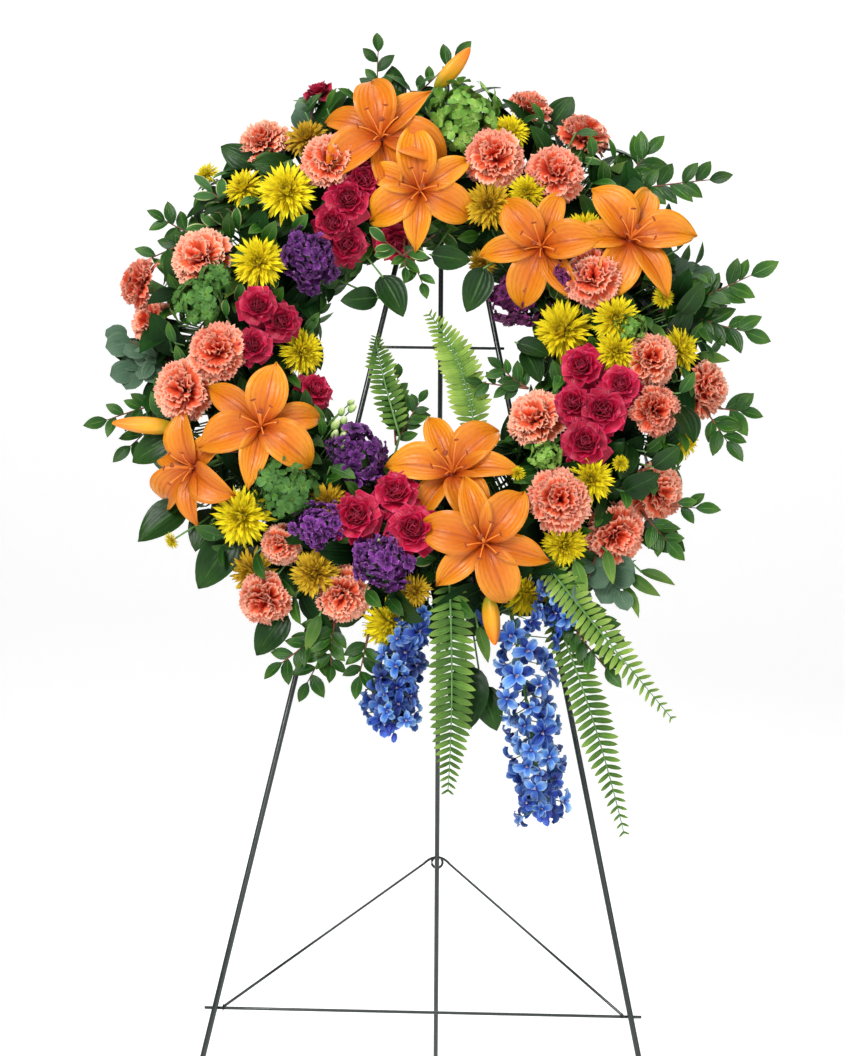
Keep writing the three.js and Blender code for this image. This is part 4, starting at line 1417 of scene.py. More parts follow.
def leaf_matrix(ring: RingFrame, place: Vector, way: Vector, face: Vector, size: float) -> Matrix:
    """The place of a leaf that grows along `way` with its face to `face`.

    Args:
        ring: The frame of all three.
        place: The leaf's foot, in mm.
        way: The direction of its midrib.
        face: Roughly the direction of its upper side.
        size: Its length in mm.

    Returns:
        The matrix to the world.
    """
    ahead = way.normalized()
    side = ahead.cross(face).normalized()
    up = side.cross(ahead)
    turn = Matrix((side, ahead, up)).transposed().to_4x4()
    return Matrix.Translation(ring.world(place)) @ ring.turn() @ turn @ Matrix.Scale(size * MM, 4)


OVAL = Petal(length=1, width=0.52, rise=8, droop=-20, cup=0.2, groove=0.02, ruffle=0.02, waves=2,
             fullest=0.46,
             point=0.86, base=0.1, columns=4, rows=6)
LANCE = Petal(length=1, width=0.34, rise=6, droop=-26, cup=0.2, groove=0.015, ruffle=0.02, waves=2,
              fullest=0.42,
              point=0.85, base=0.12, columns=4, rows=6)
ROUND = Petal(length=1, width=0.94, rise=6, droop=-10, cup=0.12, groove=0.012, ruffle=0.02, waves=2,
              fullest=0.5,
              point=0.5, base=0.12, columns=4, rows=6)
WAVY = Petal(length=1, width=0.46, rise=6, droop=-18, cup=0.1, groove=0.012, ruffle=0.05, waves=4,
             fullest=0.55,
             point=0.6, base=0.15, columns=5, rows=7)
BROAD = Petal(length=1, width=0.64, rise=10, droop=-26, cup=0.14, groove=0.02, ruffle=0.02, waves=3,
              fullest=0.38,
              point=0.75, base=0.15, columns=6, rows=9)


@dataclass
class Sprig:
    """A branch with twigs of small leaves; its ends are clock, reach, lift."""

    name: str
    root: tuple[float, float, float]
    twigs: tuple[tuple[float, float, float], ...]
    leaf: Petal = OVAL
    finish: PetalFinish = HUCKLEBERRY
    leaf_size: float = 27
    leaves: int = 9
    spread: float = 1.1
    nodes: tuple[str, ...] = ()

    def build(self, ring: RingFrame, rng: random.Random) -> bpy.types.Object:
        """Models the sprig.

        Args:
            ring: The frame it stands in.
            rng: Turns and sizes each leaf.

        Returns:
            The piece.
        """
        growth = Growth()
        kinds = self.leaf.variants(rng, 4)
        root = ring.flat(*self.root)
        core = ring.flat(self.root[0], ring.radius, ring.core_lift)
        if root.length > 180:
            way = [ring.world(core.lerp(root, share)) for share in (0.2, 0.6, 1.0)]
            growth.loft(way, [1.9 * MM, 1.8 * MM, 1.5 * MM], 6, 1)
        for end in self.twigs:
            self.twig(growth, ring, root, ring.flat(*end), kinds, rng)
        return growth.piece(self.name, [self.finish, TWIG], "glossy_leaf", self.nodes)

    def twig(self, growth: Growth, ring: RingFrame, root: Vector, tip: Vector, kinds: list,
             rng: random.Random) -> None:
        """Adds one twig and its leaves."""
        run = tip - root
        bow = Vector([rng.uniform(-0.08, 0.08) for _ in range(3)]) * run.length
        line = arc(root, root + run * 0.5 + bow, tip, 8)
        growth.loft([ring.world(point) for point in line], [(1.5 - 0.11 * i) * MM for i in range(9)], 6, 1)
        ahead = run.normalized()
        side = ahead.cross(UP).normalized()
        for i in range(self.leaves):
            last = i == self.leaves - 1
            along = 1.0 if last else 0.16 + 0.8 * i / (self.leaves - 1)
            place = line[min(8, round(along * 8))]
            hand = 0 if last else (-1 if i % 2 else 1)
            lift = rng.uniform(-0.25, 0.45)
            way = ahead + side * hand * self.spread * rng.uniform(0.8, 1.2) + UP * lift
            face = UP + side * rng.uniform(-0.5, 0.5) + ahead * rng.uniform(-0.3, 0.3)
            size = self.leaf_size * rng.uniform(0.82, 1.15)
            if ring.free(place, place + way.normalized() * size, 0.8):
                growth.place(rng.choice(kinds), leaf_matrix(ring, place, way, face, size), rng.random())


@dataclass
class LooseLeaves:
    """Single leaves between the blooms: each is clock, reach, way on the clock, length and lift."""

    name: str
    leaf: Petal
    finish: PetalFinish
    places: tuple[tuple[float, float, float, float, float], ...]

    def build(self, ring: RingFrame, rng: random.Random) -> bpy.types.Object:
        """Models the leaves.

        Args:
            ring: The frame they stand in.
            rng: Tips each leaf a little.

        Returns:
            The piece.
        """
        growth = Growth()
        kinds = self.leaf.variants(rng, 4)
        for clock, reach, way, length, lift in self.places:
            ahead = ring.flat(way, 1)
            face = UP + Vector([rng.uniform(-0.35, 0.35) for _ in range(3)])
            rise = ahead + UP * rng.uniform(-0.1, 0.35)
            middle = ring.flat(clock, reach, lift)
            start = middle - rise.normalized() * length / 2
            growth.place(rng.choice(kinds), leaf_matrix(ring, start, rise, face, length), rng.random())
            core = ring.flat(clock, ring.radius, ring.core_lift)
            way_in = [ring.world(core.lerp(start, share)) for share in (0.2, 0.6, 1.02)]
            growth.loft(way_in, [1.2 * MM] * 3, 5, 1)
        return growth.piece(self.name, [self.finish, STEM], "glossy_leaf")


@dataclass
class Underplanting:
    """The leaves that cover the foam behind the blooms."""

    name: str
    leaf: Petal
    finish: PetalFinish
    count: int
    nearest: float
    furthest: float
    size: float
    leans: tuple[float, float] = (-108, 108)
    tries: int = 8

    def build(self, ring: RingFrame, rng: random.Random) -> bpy.types.Object:
        """Models the leaves.

        Args:
            ring: The frame they stand in.
            rng: Spreads and turns the leaves.

        Returns:
            The piece.
        """
        growth = Growth()
        kinds = self.leaf.variants(rng, 5)
        for i in range(self.count):
            for _ in range(self.tries):
                if self.leaf_on(growth, ring, 360 * (i + rng.random()) / self.count, kinds, rng):
                    break
        return growth.piece(self.name, [self.finish, STEM], "glossy_leaf")

    def leaf_on(self, growth: Growth, ring: RingFrame, clock: float, kinds: list, rng: random.Random) -> bool:
        """Adds one leaf, if it leaves the blooms in sight.

        Args:
            growth: What it is added to.
            ring: The frame it stands in.
            clock: Where it is around the ring, in degrees.
            kinds: The leaves to choose from.
            rng: Spreads and turns the leaf.

        Returns:
            Whether it was added.
        """
        lean = math.radians(rng.uniform(*self.leans))
        stand = rng.uniform(self.nearest, self.furthest) * (0.9 if abs(lean) > 1.3 else 1.0)
        core = ring.flat(clock, ring.radius, ring.core_lift)
        out = ring.flat(clock, math.sin(lean), math.cos(lean))
        along = ring.flat(clock + 90, 1)
        way = out * rng.uniform(0.35, 1.0) + along * rng.choice((-1, 1)) * rng.uniform(0.5, 1.2)
        size = self.size * rng.uniform(0.75, 1.2)
        place = core + out * (stand - size * 0.3)
        if not ring.free(place, place + way.normalized() * size):
            return False
        face = out + UP * 0.4 + Vector([rng.uniform(-0.3, 0.3) for _ in range(3)])
        growth.place(rng.choice(kinds), leaf_matrix(ring, place, way, face, size), rng.random())
        root = [ring.world(core.lerp(place, share)) for share in (0.35, 0.7, 1.01)]
        growth.loft(root, [1.0 * MM] * 3, 4, 1)
        return True


@dataclass
class BudSpray:
    """Small closed buds on thin stems; each is clock, reach, lift and length."""

    name: str
    finish: PetalFinish
    slot: str
    places: tuple[tuple[float, float, float, float], ...]

    def build(self, ring: RingFrame, rng: random.Random) -> bpy.types.Object:
        """Models the buds.

        Args:
            ring: The frame they stand in.
            rng: Tips each bud.

        Returns:
            The piece.
        """
        growth = Growth()
        for clock, reach, lift, length in self.places:
            place = ring.flat(clock, reach, lift)
            core = ring.flat(clock, ring.radius, ring.core_lift)
            lean = (place - core).normalized() + Vector([rng.uniform(-0.3, 0.3) for _ in range(3)])
            size = Matrix.Diagonal((length * 0.34, length * 0.34, length * 0.5, 1))
            growth.ball(ring.matrix(place, lean.normalized(), rng.uniform(0, 360), 1) @ size, 0, 6, 0.1)
            way = arc(core.lerp(place, 0.3), core.lerp(place, 0.7), place, 4)
            growth.loft([ring.world(point) for point in way], [0.9 * MM] * 5, 5, 1)
        return growth.piece(self.name, [self.finish, STEM], self.slot)


class Planting:
    """Every plant in the wreath, in the order in which it is built."""

    def __init__(self) -> None:
        """Builds a few heads of each kind of flower."""
        self.lily = Lily(1)
        self.carnation = Carnation(2)
        self.mum = Mum(3)
        self.gold_mum = GoldMum(4)
        self.rose = SprayRose(5)
        self.stock = Stock(6)
        self.plum_stock = PlumStock(7)
        self.hydrangea = Hydrangea(8)
        self.dark_hydrangea = DarkHydrangea(10)
        self.delphinium = DelphiniumFloret(9)

    def pieces(self) -> list:
        """All the plants."""
        return [
            *self.lilies(), *self.carnations(), *self.mums(), *self.roses(), *self.clusters(), *self.spikes(),
            *self.fronds(), *self.sprigs(), *self.loose_leaves(), *self.underplanting(),
        ]

    def sprays(self, flower: Flower, plan: dict[str, list[tuple]]) -> list[Spray]:
        """Turns a plan of clock, reach and size (then turn, gaze and drop) into sprays."""
        return [Spray(name, flower, tuple(Bloom(*spot) for spot in spots), (name,)) for name,
                spots in plan.items()]

    def lilies(self) -> list[Spray]:
        """The orange lilies."""
        plan = {
            "lily_top": ((347, 250, 146, 0, 0.5), ((1, 312, 96), (7, 356, 112))),
            "lily_top_inner": ((357, 177, 136, 0, 0.6), None),
            "lily_right_inner": ((49, 171, 136, 35, 0.6), None),
            "lily_right_outer": ((62, 266, 142, 22, 0.5), None),
            "lily_left_inner": ((240, 209, 142, 10, 0.6), None),
            "lily_left_outer": ((241, 305, 128, -5, 0.35), ((251, 300, 80), (255, 366, 88))),
            "lily_bottom_inner": ((167, 150, 142, -10, 0.6), None),
            "lily_bottom": ((163, 246, 142, 0, 0.6), ((165, 300, 92), (166, 352, 84))),
        }
        return [
            LilyStem(name, self.lily, (Bloom(*bloom),), (name,), 14.0, bud) for name,
            (bloom, bud) in plan.items()
        ]

    def carnations(self) -> list[Spray]:
        """The coral carnations."""
        return self.sprays(self.carnation, {
            "carnations_top_left": [(322, 322, 62), (332, 240, 68)],
            "carnations_left_edge": [(291, 280, 70), (283, 344, 58, None, 0.1), (276, 322, 54)],
            "carnations_left": [(266, 236, 64), (258, 280, 72)],
            "carnations_top_right": [(19, 231, 66), (36, 248, 64)],
            "carnations_top_edge": [(21, 322, 54, None, 0.2), (34, 322, 62, None, 0.3)],
            "carnation_right_upper": [(68, 203, 68)],
            "carnations_right_inner": [(123, 151, 66), (140, 240, 70)],
            "carnations_right": [(94, 257, 60), (106, 273, 58), (97, 324, 64, None, 0.1)],
            "carnations_lower_right": [(121, 311, 66), (134, 306, 70)],
            "carnations_lower_left": [(214, 288, 46, None, 0.45, 8), (197, 302, 62), (211, 344, 60)],
        })

    def mums(self) -> list[Spray]:
        """The yellow chrysanthemums."""
        yellow = self.sprays(self.mum, {
            "mums_top_left": [(317, 238, 72), (311, 285, 50)],
            "mums_left": [(295, 211, 64), (268, 141, 56)],
            "mums_lower_left": [(225, 288, 72)],
            "mums_bottom": [(186, 322, 68)],
            "mums_top_right": [(20, 272, 46), (33, 209, 46), (55, 220, 56)],
            "mums_right": [(83, 157, 72), (83, 217, 56), (93, 217, 52)],
            "mums_right_edge": [(90, 292, 54, None, 0.1), (108, 312, 54, None, 0.1)],
            "mums_lower_right": [(130, 248, 54), (145, 282, 52), (157, 307, 58)],
            "small_mums_yellow": [
                (309, 338, 30), (78, 277, 27), (231, 365, 20, None, 0.1), (145, 187, 18), (122, 263, 20),
            ],
        })
        gold = self.sprays(self.gold_mum, {
            "mums_top_left_gold": [(330, 288, 54)],
            "mums_lower_left_gold": [(216, 325, 60)],
            "mums_bottom_gold": [(204, 292, 58), (181, 286, 38)],
            "mums_top_right_gold": [(23, 178, 60)],
            "small_mums_gold": [(209, 214, 46, None, 0.45, 10), (30, 125, 36)],
        })
        for spray in yellow + gold:
            if "small" in spray.name or "gold" in spray.name:
                spray.nodes = ()
        return yellow + gold

    def roses(self) -> list[Spray]:
        """The hot-pink spray roses."""
        plan = self.sprays(self.rose, {
            "roses_top": [(339, 202, 48), (331, 190, 56), (322, 177, 46), (322, 152, 52), (344, 136, 50)],
            "roses_left": [(281, 194, 48), (278, 167, 48), (267, 194, 44), (249, 135, 44)],
            "roses_right": [(99, 181, 54), (103, 228, 48), (113, 184, 48), (112, 218, 56), (123, 218, 56)],
            "roses_bottom": [(199, 219, 58), (189, 180, 56), (182, 221, 60)],
            "small_rose": [(337, 341, 38, None, 0.2)],
        })
        plan[-1].nodes = ()
        return plan

    def clusters(self) -> list[Spray]:
        """The purple stock and green hydrangeas."""
        stock = self.sprays(self.stock, {
            "stock_upper_left": [(306, 167, 72)],
            "stock_lower_left": [(210, 150, 64), (208, 245, 60)],
            "stock_bottom": [(189, 257, 70)],
        })
        plum = self.sprays(self.plum_stock, {"stock_right": [(56, 124, 68)], "small_stock": [(64, 180, 44)]})
        green = self.sprays(self.hydrangea, {
            "hydrangea_top": [(8, 274, 90)],
            "small_hydrangeas": [(134, 194, 38), (86, 233, 38), (357, 262, 60, None, 0.45, 24)],
        }) + self.sprays(self.dark_hydrangea, {
            "hydrangea_lower_left": [(221, 232, 76)], "hydrangea_left": [(279, 262, 66), (286, 250, 44)],
        })
        plum[-1].nodes = ()
        green[1].nodes = green[3].nodes = ()
        buds = BudSpray("stock_buds", PALE_BUD, "stock_petal", (
            (225, 128, 96, 14), (226, 138, 100, 15), (221, 134, 104, 13), (223, 146, 98, 14),
            (230, 122, 92, 12), (228, 110, 88, 13), (232, 106, 84, 11), (219, 142, 108, 12),
            (216, 150, 112, 12), (221, 206, 114, 14), (219, 214, 116, 13), (223, 212, 112, 12),
            (217, 222, 116, 12), (224, 222, 112, 12), (190, 246, 130, 12), (192, 254, 132, 11),
            (187, 252, 132, 11), (189, 264, 130, 12), (191, 240, 128, 10),
        ))
        return stock + plum + green + [buds]

    def spikes(self) -> list[Spike]:
        """The blue delphiniums."""
        return [
            Spike("delphinium_left", self.delphinium, (182, 304, 66), (184, 430, 58), 48, 66, 38, 35,
                  0.56, ("delphinium_left",)),
            Spike("delphinium_right", self.delphinium, (160, 312, 66), (165, 546, 36), 88, 54, 56, 35,
                  0.68, ("delphinium_right",)),
            Spike("delphinium_side", self.delphinium, (152, 296, 74), (153, 352, 62), 46, 34, 16, 30),
            Spike("delphinium_behind", self.delphinium, (181, 300, 70), (181, 344, 66), 40, 34, 12, 28),
        ]

    def fronds(self) -> list[Frond]:
        """The sword ferns."""
        plan = {
            "fern_eye_right": ((150, 116, 80), (107, 52, 88), (3, 46, 66), 46, 24, LIGHT_FERN),
            "fern_eye_left": ((195, 106, 78), (245, 58, 84), (288, 62, 62), 34, 20, FERN),
            "fern_bottom": ((173, 268, 98), (174, 402, 92), (176, 507, 60), 50, 28, FERN),
            "fern_lower_right": ((151, 276, 86), (149, 371, 104), (146, 508, 70), 38, 28, LIGHT_FERN),
            "fern_lowest": ((153, 318, 40), (154, 442, 70), (157, 595, 44), 42, 31, FERN),
        }
        return [
            Frond(name, base, middle, tip, width, pairs, finish, (name,))
            for name, (base, middle, tip, width, pairs, finish) in plan.items()
        ]

    def sprigs(self) -> list[Sprig]:
        """The huckleberry, eucalyptus and pittosporum sprigs."""
        return [
            Sprig("huckleberry_top", (348, 285, 54), ((350, 376, 60), (4, 368, 52)),
                  nodes=("huckleberry_top",)),
            Sprig("huckleberry_upper_right", (47, 290, 54), ((46, 352, 62), (57, 388, 70)),
                  leaf_size=33, leaves=11, nodes=("huckleberry_upper_right",)),
            Sprig("huckleberry_right", (78, 288, 54), ((76, 384, 80), (85, 368, 58)),
                  leaf_size=33, leaves=11, nodes=("huckleberry_right",)),
            Sprig("huckleberry_left", (259, 292, 54), ((257, 376, 62), (252, 358, 44)),
                  nodes=("huckleberry_left",)),
            Sprig("huckleberry_lower_left", (197, 330, 60), ((203, 395, 62), (198, 405, 60), (195, 380, 66))),
            Sprig("huckleberry_bottom", (190, 340, 60), ((190, 384, 66),), leaves=7),
            Sprig("huckleberry_lower_right", (126, 300, 60),
                  ((128, 352, 62), (120, 358, 66), (121, 338, 70))),
            Sprig("huckleberry_right_low", (100, 320, 66), ((106, 360, 60), (100, 366, 62)),
                  leaf_size=32, leaves=9),
            Sprig("huckleberry_left_high", (297, 300, 60), ((297, 348, 60), (287, 350, 70)), leaves=7),
            Sprig("huckleberry_spike_side", (152, 320, 56), ((147, 388, 70), (150, 420, 60)), leaves=11),
            Sprig("eye_sprig", (196, 116, 70), ((227, 44, 60), (186, 60, 66)), leaf_size=22, leaves=11),
            Sprig("upper_eye_sprig", (350, 150, 80), ((345, 96, 96), (356, 76, 90)), leaf_size=21, leaves=7),
            Sprig("right_eye_sprig", (112, 128, 90), ((122, 78, 88), (106, 92, 92)), leaf_size=22, leaves=7),
            Sprig("eucalyptus_left", (268, 300, 60), ((272, 348, 66), (266, 338, 60)),
                  ROUND, EUCALYPTUS, 28, 7, 0.9),
            Sprig("eucalyptus_upper_left", (330, 290, 60), ((335, 332, 66),), ROUND, EUCALYPTUS, 28, 5, 0.9),
            Sprig("eucalyptus_right", (70, 280, 66), ((73, 318, 70),), ROUND, EUCALYPTUS, 28, 5, 0.9),
            Sprig("eucalyptus_lower_right", (138, 300, 60), ((141, 355, 66), (146, 330, 80)),
                  ROUND, EUCALYPTUS, 30, 6),
            Sprig("pittosporum_upper_left", (304, 262, 80), ((306, 312, 88), (299, 290, 84)),
                  WAVY, VARIEGATED, 30, 7),
            Sprig("pittosporum_top", (345, 110, 96), ((338, 128, 110), (4, 128, 110)),
                  WAVY, VARIEGATED, 26, 6),
            Sprig("pittosporum_left", (238, 240, 90), ((243, 276, 96), (233, 250, 104)),
                  WAVY, VARIEGATED, 30, 7),
        ]

    def loose_leaves(self) -> list[LooseLeaves]:
        """The broad leaves that show between the blooms."""
        return [
            LooseLeaves("salal_leaves", BROAD, SALAL, (
                (316, 326, 300, 50, 70), (306, 246, 330, 78, 92), (311, 226, 60, 66, 96),
                (249, 335, 240, 56, 66), (236, 362, 232, 70, 56), (223, 344, 214, 72, 66),
                (327, 70, 150, 56, 96), (306, 96, 260, 44, 88), (15, 108, 100, 46, 96),
                (40, 88, 200, 56, 92), (91, 124, 110, 42, 96), (100, 125, 150, 44, 92),
                (172, 404, 176, 74, 66), (169, 418, 160, 54, 54), (207, 372, 215, 60, 62),
                (128, 346, 118, 60, 60), (76, 330, 70, 48, 56), (352, 334, 350, 52, 56),
                (27, 338, 30, 50, 56), (270, 344, 280, 54, 52),
            )),
            LooseLeaves("fern_green_leaves", LANCE, FERN, (
                (137, 368, 130, 46, 66), (134, 372, 110, 44, 66), (140, 372, 150, 44, 62),
                (140, 330, 170, 42, 90), (146, 322, 160, 44, 92), (200, 352, 200, 46, 70),
                (175, 330, 176, 48, 84), (168, 350, 160, 44, 84), (90, 330, 96, 42, 60),
                (44, 306, 50, 44, 66), (288, 322, 300, 44, 60),
            )),
        ]

    def underplanting(self) -> list[Underplanting]:
        """The leaves behind the blooms."""
        return [
            Underplanting("base_shaded", BROAD, SHADED, 360, 48, 82, 52),
            Underplanting("base_salal", BROAD, SALAL, 130, 62, 94, 52, (-96, 96)),
            Underplanting("base_huckleberry", OVAL, HUCKLEBERRY, 460, 64, 100, 30),
            Underplanting("base_fern_green", LANCE, FERN, 100, 60, 92, 40),
            Underplanting("base_pittosporum", WAVY, VARIEGATED, 70, 64, 98, 28),
            Underplanting("rim_shaded", BROAD, SHADED, 130, 76, 112, 56, (48, 92)),
            Underplanting("rim_salal", BROAD, SALAL, 64, 84, 118, 54, (42, 86)),
            Underplanting("rim_huckleberry", OVAL, HUCKLEBERRY, 170, 84, 124, 32, (40, 88)),
            Underplanting("eye_shaded", BROAD, SHADED, 60, 70, 90, 44, (-84, -45)),
            Underplanting("eye_huckleberry", OVAL, HUCKLEBERRY, 80, 76, 96, 28, (-80, -40)),
        ]


# ---------------------------------------------------------------- the easel, the ring and their wires
@dataclass
class Easel:
    """The folding wire easel; its sizes in mm, in the ring's frame."""

    ring: RingFrame
    apex: float = 370.0
    middle: float = 10.0
    depth: float = -3.175
    leg: float = 3.175
    rear_leg: float = 3.0
    bar: float = 1.75
    brace: float = 1.6
    gap: float = 0.4
    spread: float = 0.2085
    height: float = 1314.0
    bend_drop: float = 26
    hinge_drop: float = 60
    hinge_radius: float = 2.4
    hinge_gap: float = 0.9
    eye_reach: float = 5.4
    eye_radius: float = 2.6
    upper_drop: float = 343
    upper_length: float = 159
    lower_drop: float = 1116
    lower_length: float = 490
    rear_reach: float = 326
    brace_half: float = 224
    brace_setback: float = 238
    brace_height: float = 336

    def point(self, x: float, y: float, z: float) -> Vector:
        """A point across, up from the apex and out from the front frame, in the world."""
        return self.ring.world(Vector((self.middle + x, self.apex + y, self.depth + z)))

    def build(self) -> list[bpy.types.Object]:
        """Models the whole easel."""
        return [*self.front_legs(), self.bend(), *self.bars(), self.back_leg(), self.spreader()]

    def rod(self, name: str, points: list[Vector], radius: float, body: str = FRAME_BODY) -> bpy.types.Object:
        """Models a painted rod with eased ends.

        Args:
            name: Its name, which is also its CAD node's.
            points: The middle of the rod.
            radius: Its radius in mm.
            body: The body that it rides.

        Returns:
            The piece.
        """
        growth = Growth()
        self.eased(growth, points, radius)
        return self.finish(growth, name, body)

    def eased(self, growth: Growth, points: list[Vector], radius: float, sides: int = 16) -> None:
        """Adds a rod whose ends are a little rounded."""
        first = (points[1] - points[0]).normalized() * radius * 0.35 * MM
        last = (points[-1] - points[-2]).normalized() * radius * 0.35 * MM
        line = [points[0], points[0] + first, *points[1:-1], points[-1] - last, points[-1]]
        radii = [radius * MM * 0.72] + [radius * MM] * (len(line) - 2) + [radius * MM * 0.72]
        growth.loft(line, radii, sides, 0)

    def finish(self, growth: Growth, name: str, body: str = FRAME_BODY) -> bpy.types.Object:
        """Ends a painted piece and puts it on its body."""
        obj = growth.piece(name, [PAINT], "easel_paint", (name,))
        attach(obj, body)
        return obj

    def front_legs(self) -> list[bpy.types.Object]:
        """The two front legs."""
        drop = self.height / math.cos(LEAN)
        made = []
        for side, name in ((-1, "front_leg_left"), (1, "front_leg_right")):
            top = self.point(side * self.spread * self.bend_drop, -self.bend_drop, 0)
            foot = self.point(side * self.spread * drop, -drop, 0)
            line = [top.lerp(foot, share) for share in (0, 0.25, 0.5, 0.75, 1)]
            line[-1].z = self.leg * MM * 0.3
            made.append(self.rod(name, line, self.leg))
        return made

    def bend(self) -> bpy.types.Object:
        """The bend at the top of the front frame."""
        points = []
        for i in range(13):
            angle = math.pi * (i / 12 - 0.5)
            wide = math.sin(angle) * self.spread * self.bend_drop
            points.append(self.point(wide, self.bend_drop * (math.cos(angle) ** 0.8 - 1), 0))
        growth = Growth()
        growth.loft(points, [self.leg * MM] * len(points), 16, 0)
        return self.finish(growth, "apex_bend")

    def bars(self) -> list[bpy.types.Object]:
        """The two cross bars and the hinge bar."""
        back = -(self.leg + self.bar + self.gap)
        made = []
        plan = (("upper_crossbar", self.upper_drop, self.upper_length),
                ("lower_crossbar", self.lower_drop, self.lower_length))
        for name, drop, length in plan:
            ends = [self.point(length / 2 * share, -drop, back) for share in (-1, -0.5, 0, 0.5, 1)]
            made.append(self.rod(name, ends, self.bar))
        half = self.spread * self.hinge_drop - self.leg - self.hinge_gap
        ends = [self.point(half * share, -self.hinge_drop, 0) for share in (-1, -0.4, 0.4, 1)]
        made.append(self.rod("hinge_bar", ends, self.hinge_radius))
        return made

    def back_leg(self) -> bpy.types.Object:
        """The rear leg, with the eye that turns on the hinge bar."""
        hinge = self.point(0, -self.hinge_drop, 0)
        base = self.point(0, 0, 0)
        foot = Vector((base.x, base.y + self.rear_reach * MM, self.rear_leg * MM * 0.3))
        way = (foot - hinge).normalized()
        start = hinge + way * 4.5 * MM
        growth = Growth()
        self.eased(growth, [start.lerp(foot, share) for share in (0, 0.3, 0.6, 1)], self.rear_leg)
        self.eye(growth, hinge, self.eye_reach, self.eye_radius)
        return self.finish(growth, "rear_leg", "rear_leg")

    def eye(self, growth: Growth, centre: Vector, reach: float, radius: float) -> None:
        """Adds a ring of wire about the X axis."""
        turns = 24
        made = bmesh.ops.create_circle(growth.bm, cap_ends=False, segments=10, radius=radius * MM)["verts"]
        place = Matrix.Translation((0, reach * MM, 0)) @ Matrix.Rotation(math.pi / 2, 4, "Y")
        bmesh.ops.transform(growth.bm, matrix=place, verts=made)
        edges = list({edge for vert in made for edge in vert.link_edges})
        bmesh.ops.spin(
            growth.bm, geom=made + edges, cent=(0, 0, 0), axis=(1, 0, 0),
            angle=math.tau, steps=turns, use_merge=True,
        )
        ring = [vert for vert in growth.bm.verts if vert.co.length < (reach + radius) * MM * 1.01]
        bmesh.ops.translate(growth.bm, vec=centre, verts=ring)
        faces = list({face for vert in ring for face in vert.link_faces})
        bmesh.ops.recalc_face_normals(growth.bm, faces=faces)
        for face in faces:
            face.smooth = True

    def spreader(self) -> bpy.types.Object:
        """The bent wire between the lower cross bar and the rear leg."""
        back = -(self.leg + self.bar + self.gap)
        base = self.point(0, 0, 0)
        setback = self.brace_setback + self.rear_leg + self.brace + 1.2
        top = Vector((base.x, base.y + setback * MM, self.brace_height * MM))
        growth = Growth()
        eyes = [self.point(side * self.brace_half, -self.lower_drop, back) for side in (-1, 1)]
        eye_reach = self.bar + self.gap + self.brace
        feet = []
        for eye in eyes:
            self.eye(growth, eye, eye_reach, self.brace)
            run = top - eye
            run.x = 0
            feet.append(eye + run.normalized() * eye_reach * MM)
        shoulders = [top + Vector((side * 17, -14, -7)) * MM for side in (-1, 1)]
        left, right = (top + Vector((side * 9, 0, 0)) * MM for side in (-1, 1))
        line = [
            feet[0], feet[0].lerp(shoulders[0], 0.5), *arc(shoulders[0], left, top, 6),
            *arc(top, right, shoulders[1], 6)[1:], feet[1].lerp(shoulders[1], 0.5), feet[1],
        ]
        growth.loft(line, [self.brace * MM] * len(line), 10, 0)
        curl = []
        for i in range(25):
            angle = i / 24 * 1.72 * math.pi
            curl.append(top + Vector((-7 * math.sin(angle), 0.125 * i, -7 + 7 * math.cos(angle))) * MM)
        growth.loft(curl, [self.brace * MM] * len(curl), 10, 0)
        return self.finish(growth, "spreader_brace", "spreader")


class Foundation:
    """The foam, its tray and the wires that tie them to the easel, as the CAD gives them."""

    dressing = {"foam_ring": FOAM, "ring_tray": TRAY, "tie_wire_left": WIRE, "tie_wire_right": WIRE,
                "hanger_wire": WIRE}

    def dress(self, nodes: dict[str, bpy.types.Object]) -> None:
        """Gives each node its finish.

        Args:
            nodes: The CAD objects by name.
        """
        for name, finish in self.dressing.items():
            obj = nodes[name]
            obj.data.materials.clear()
            obj.data.materials.append(finish.material())
            LOG.info("%s: dressed", name)


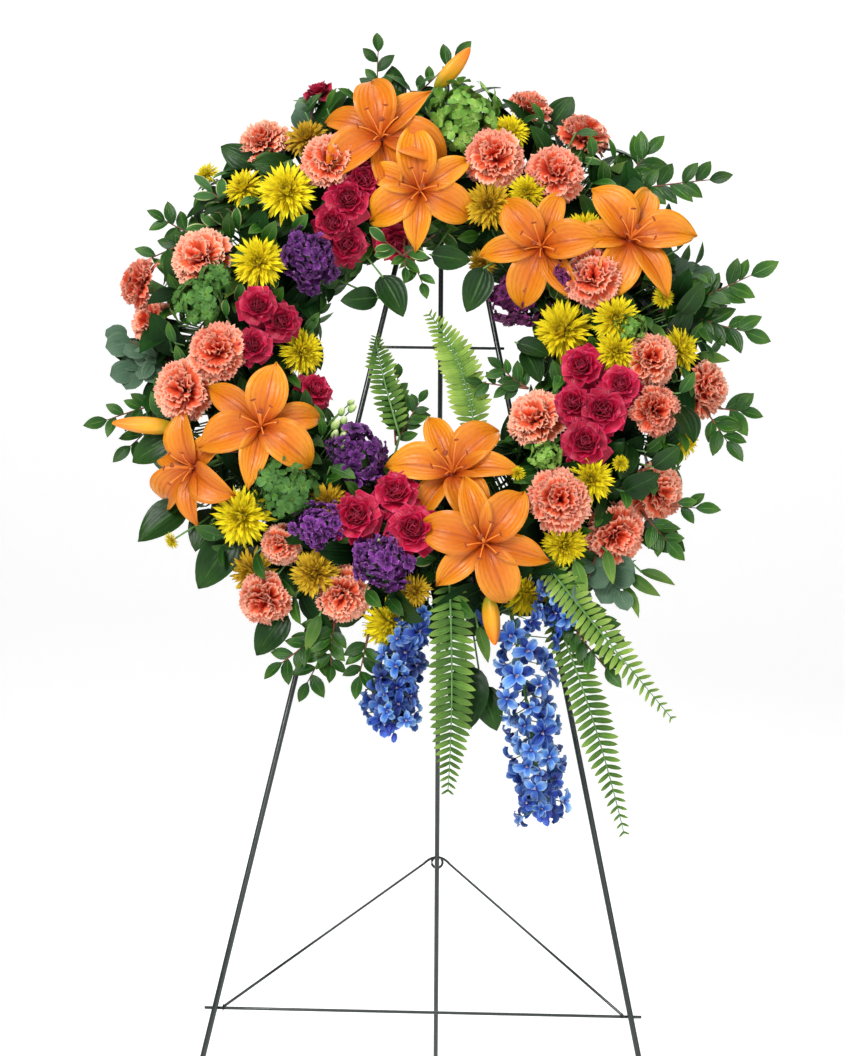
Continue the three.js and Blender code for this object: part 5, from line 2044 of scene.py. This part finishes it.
# ---------------------------------------------------------------- the studio
@dataclass(frozen=True)
class Studio:
    """A white sweep, soft lights and the camera."""

    camera_place: tuple[float, float, float] = (0.1173, -3.1701, 0.764)
    camera_turn: float = 2.15
    camera_roll: float = 0.87
    lens: float = 88.94

    def build(self) -> None:
        """Sets up the floor, the backdrop, the lights and the camera."""
        self.sweep()
        self.light("key", (-1.6, -3.6, 2.8), 1.6, 160)
        self.light("fill", (2.6, -3.2, 1.4), 2.4, 45)
        self.light("top", (0.2, -0.6, 3.8), 2.0, 50)
        self.light("back", (0.4, 2.6, 3.2), 3.0, 60)
        world = bpy.data.worlds.new("studio")
        world.use_nodes = True
        world.node_tree.nodes["Background"].inputs[0].default_value = (1, 1, 1, 1)
        world.node_tree.nodes["Background"].inputs[1].default_value = 0.22
        bpy.context.scene.world = world
        bpy.context.scene.view_settings.view_transform = "Standard"
        self.camera()

    def sweep(self) -> None:
        """A floor that curves up into a backdrop."""
        bm = bmesh.new()
        bmesh.ops.create_grid(bm, x_segments=1, y_segments=1, size=6)
        back = [edge for edge in bm.edges if all(vert.co.y > 5.9 for vert in edge.verts)]
        raised = bmesh.ops.extrude_edge_only(bm, edges=back)["geom"]
        verts = [item for item in raised if isinstance(item, bmesh.types.BMVert)]
        bmesh.ops.translate(bm, vec=(0, 0, 6), verts=verts)
        fold = [edge for edge in bm.edges if all(vert.co.y > 5.9 and vert.co.z < 0.1 for vert in edge.verts)]
        bmesh.ops.bevel(bm, geom=fold, offset=2, offset_type="OFFSET", affect="EDGES", segments=12,
                        profile=0.5, material=-1)
        for face in bm.faces:
            face.smooth = True
        mesh = bpy.data.meshes.new("sweep")
        bm.to_mesh(mesh)
        bm.free()
        material, graph, shader = start_material("studio_white")
        shader.inputs["Base Color"].default_value = (0.86, 0.86, 0.86, 1)
        shader.inputs["Roughness"].default_value = 0.9
        shader.inputs["Emission Color"].default_value = (1, 1, 1, 1)
        shader.inputs["Emission Strength"].default_value = 0.42
        mesh.materials.append(material)
        obj = bpy.data.objects.new("sweep", mesh)
        bpy.context.scene.collection.objects.link(obj)

    def light(self, name: str, place: tuple[float, float, float], size: float, power: float) -> None:
        """Adds a soft light that looks at the wreath."""
        data = bpy.data.lights.new(name, "AREA")
        data.size = size
        data.energy = power
        obj = bpy.data.objects.new(name, data)
        obj.location = place
        obj.rotation_euler = (Vector((0, 0, 0.9)) - Vector(place)).to_track_quat("-Z", "Y").to_euler()
        bpy.context.scene.collection.objects.link(obj)

    def camera(self) -> None:
        """Places the camera in front of the wreath."""
        data = bpy.data.cameras.new("front")
        data.sensor_fit = "VERTICAL"
        data.sensor_height = 36
        data.lens = self.lens
        obj = bpy.data.objects.new("front", data)
        turn = (
            Matrix.Rotation(math.radians(self.camera_turn), 4, "Z")
            @ Matrix.Rotation(math.pi / 2, 4, "X")
            @ Matrix.Rotation(math.radians(self.camera_roll), 4, "Z")
        )
        obj.matrix_world = Matrix.Translation(self.camera_place) @ turn
        bpy.context.scene.collection.objects.link(obj)
        bpy.context.scene.camera = obj


def main() -> None:
    """Builds the wreath's looks piece by piece."""
    logging.basicConfig(level=logging.INFO, format="%(name)s: %(message)s")
    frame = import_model()
    ring = RingFrame.from_tray()
    Foundation().dress(frame["nodes"])
    Easel(ring).build()
    for index, plant in enumerate(Planting().pieces()):
        plant.build(ring, random.Random(100 + index))
    Studio().build()


if __name__ == "__main__":
    main()
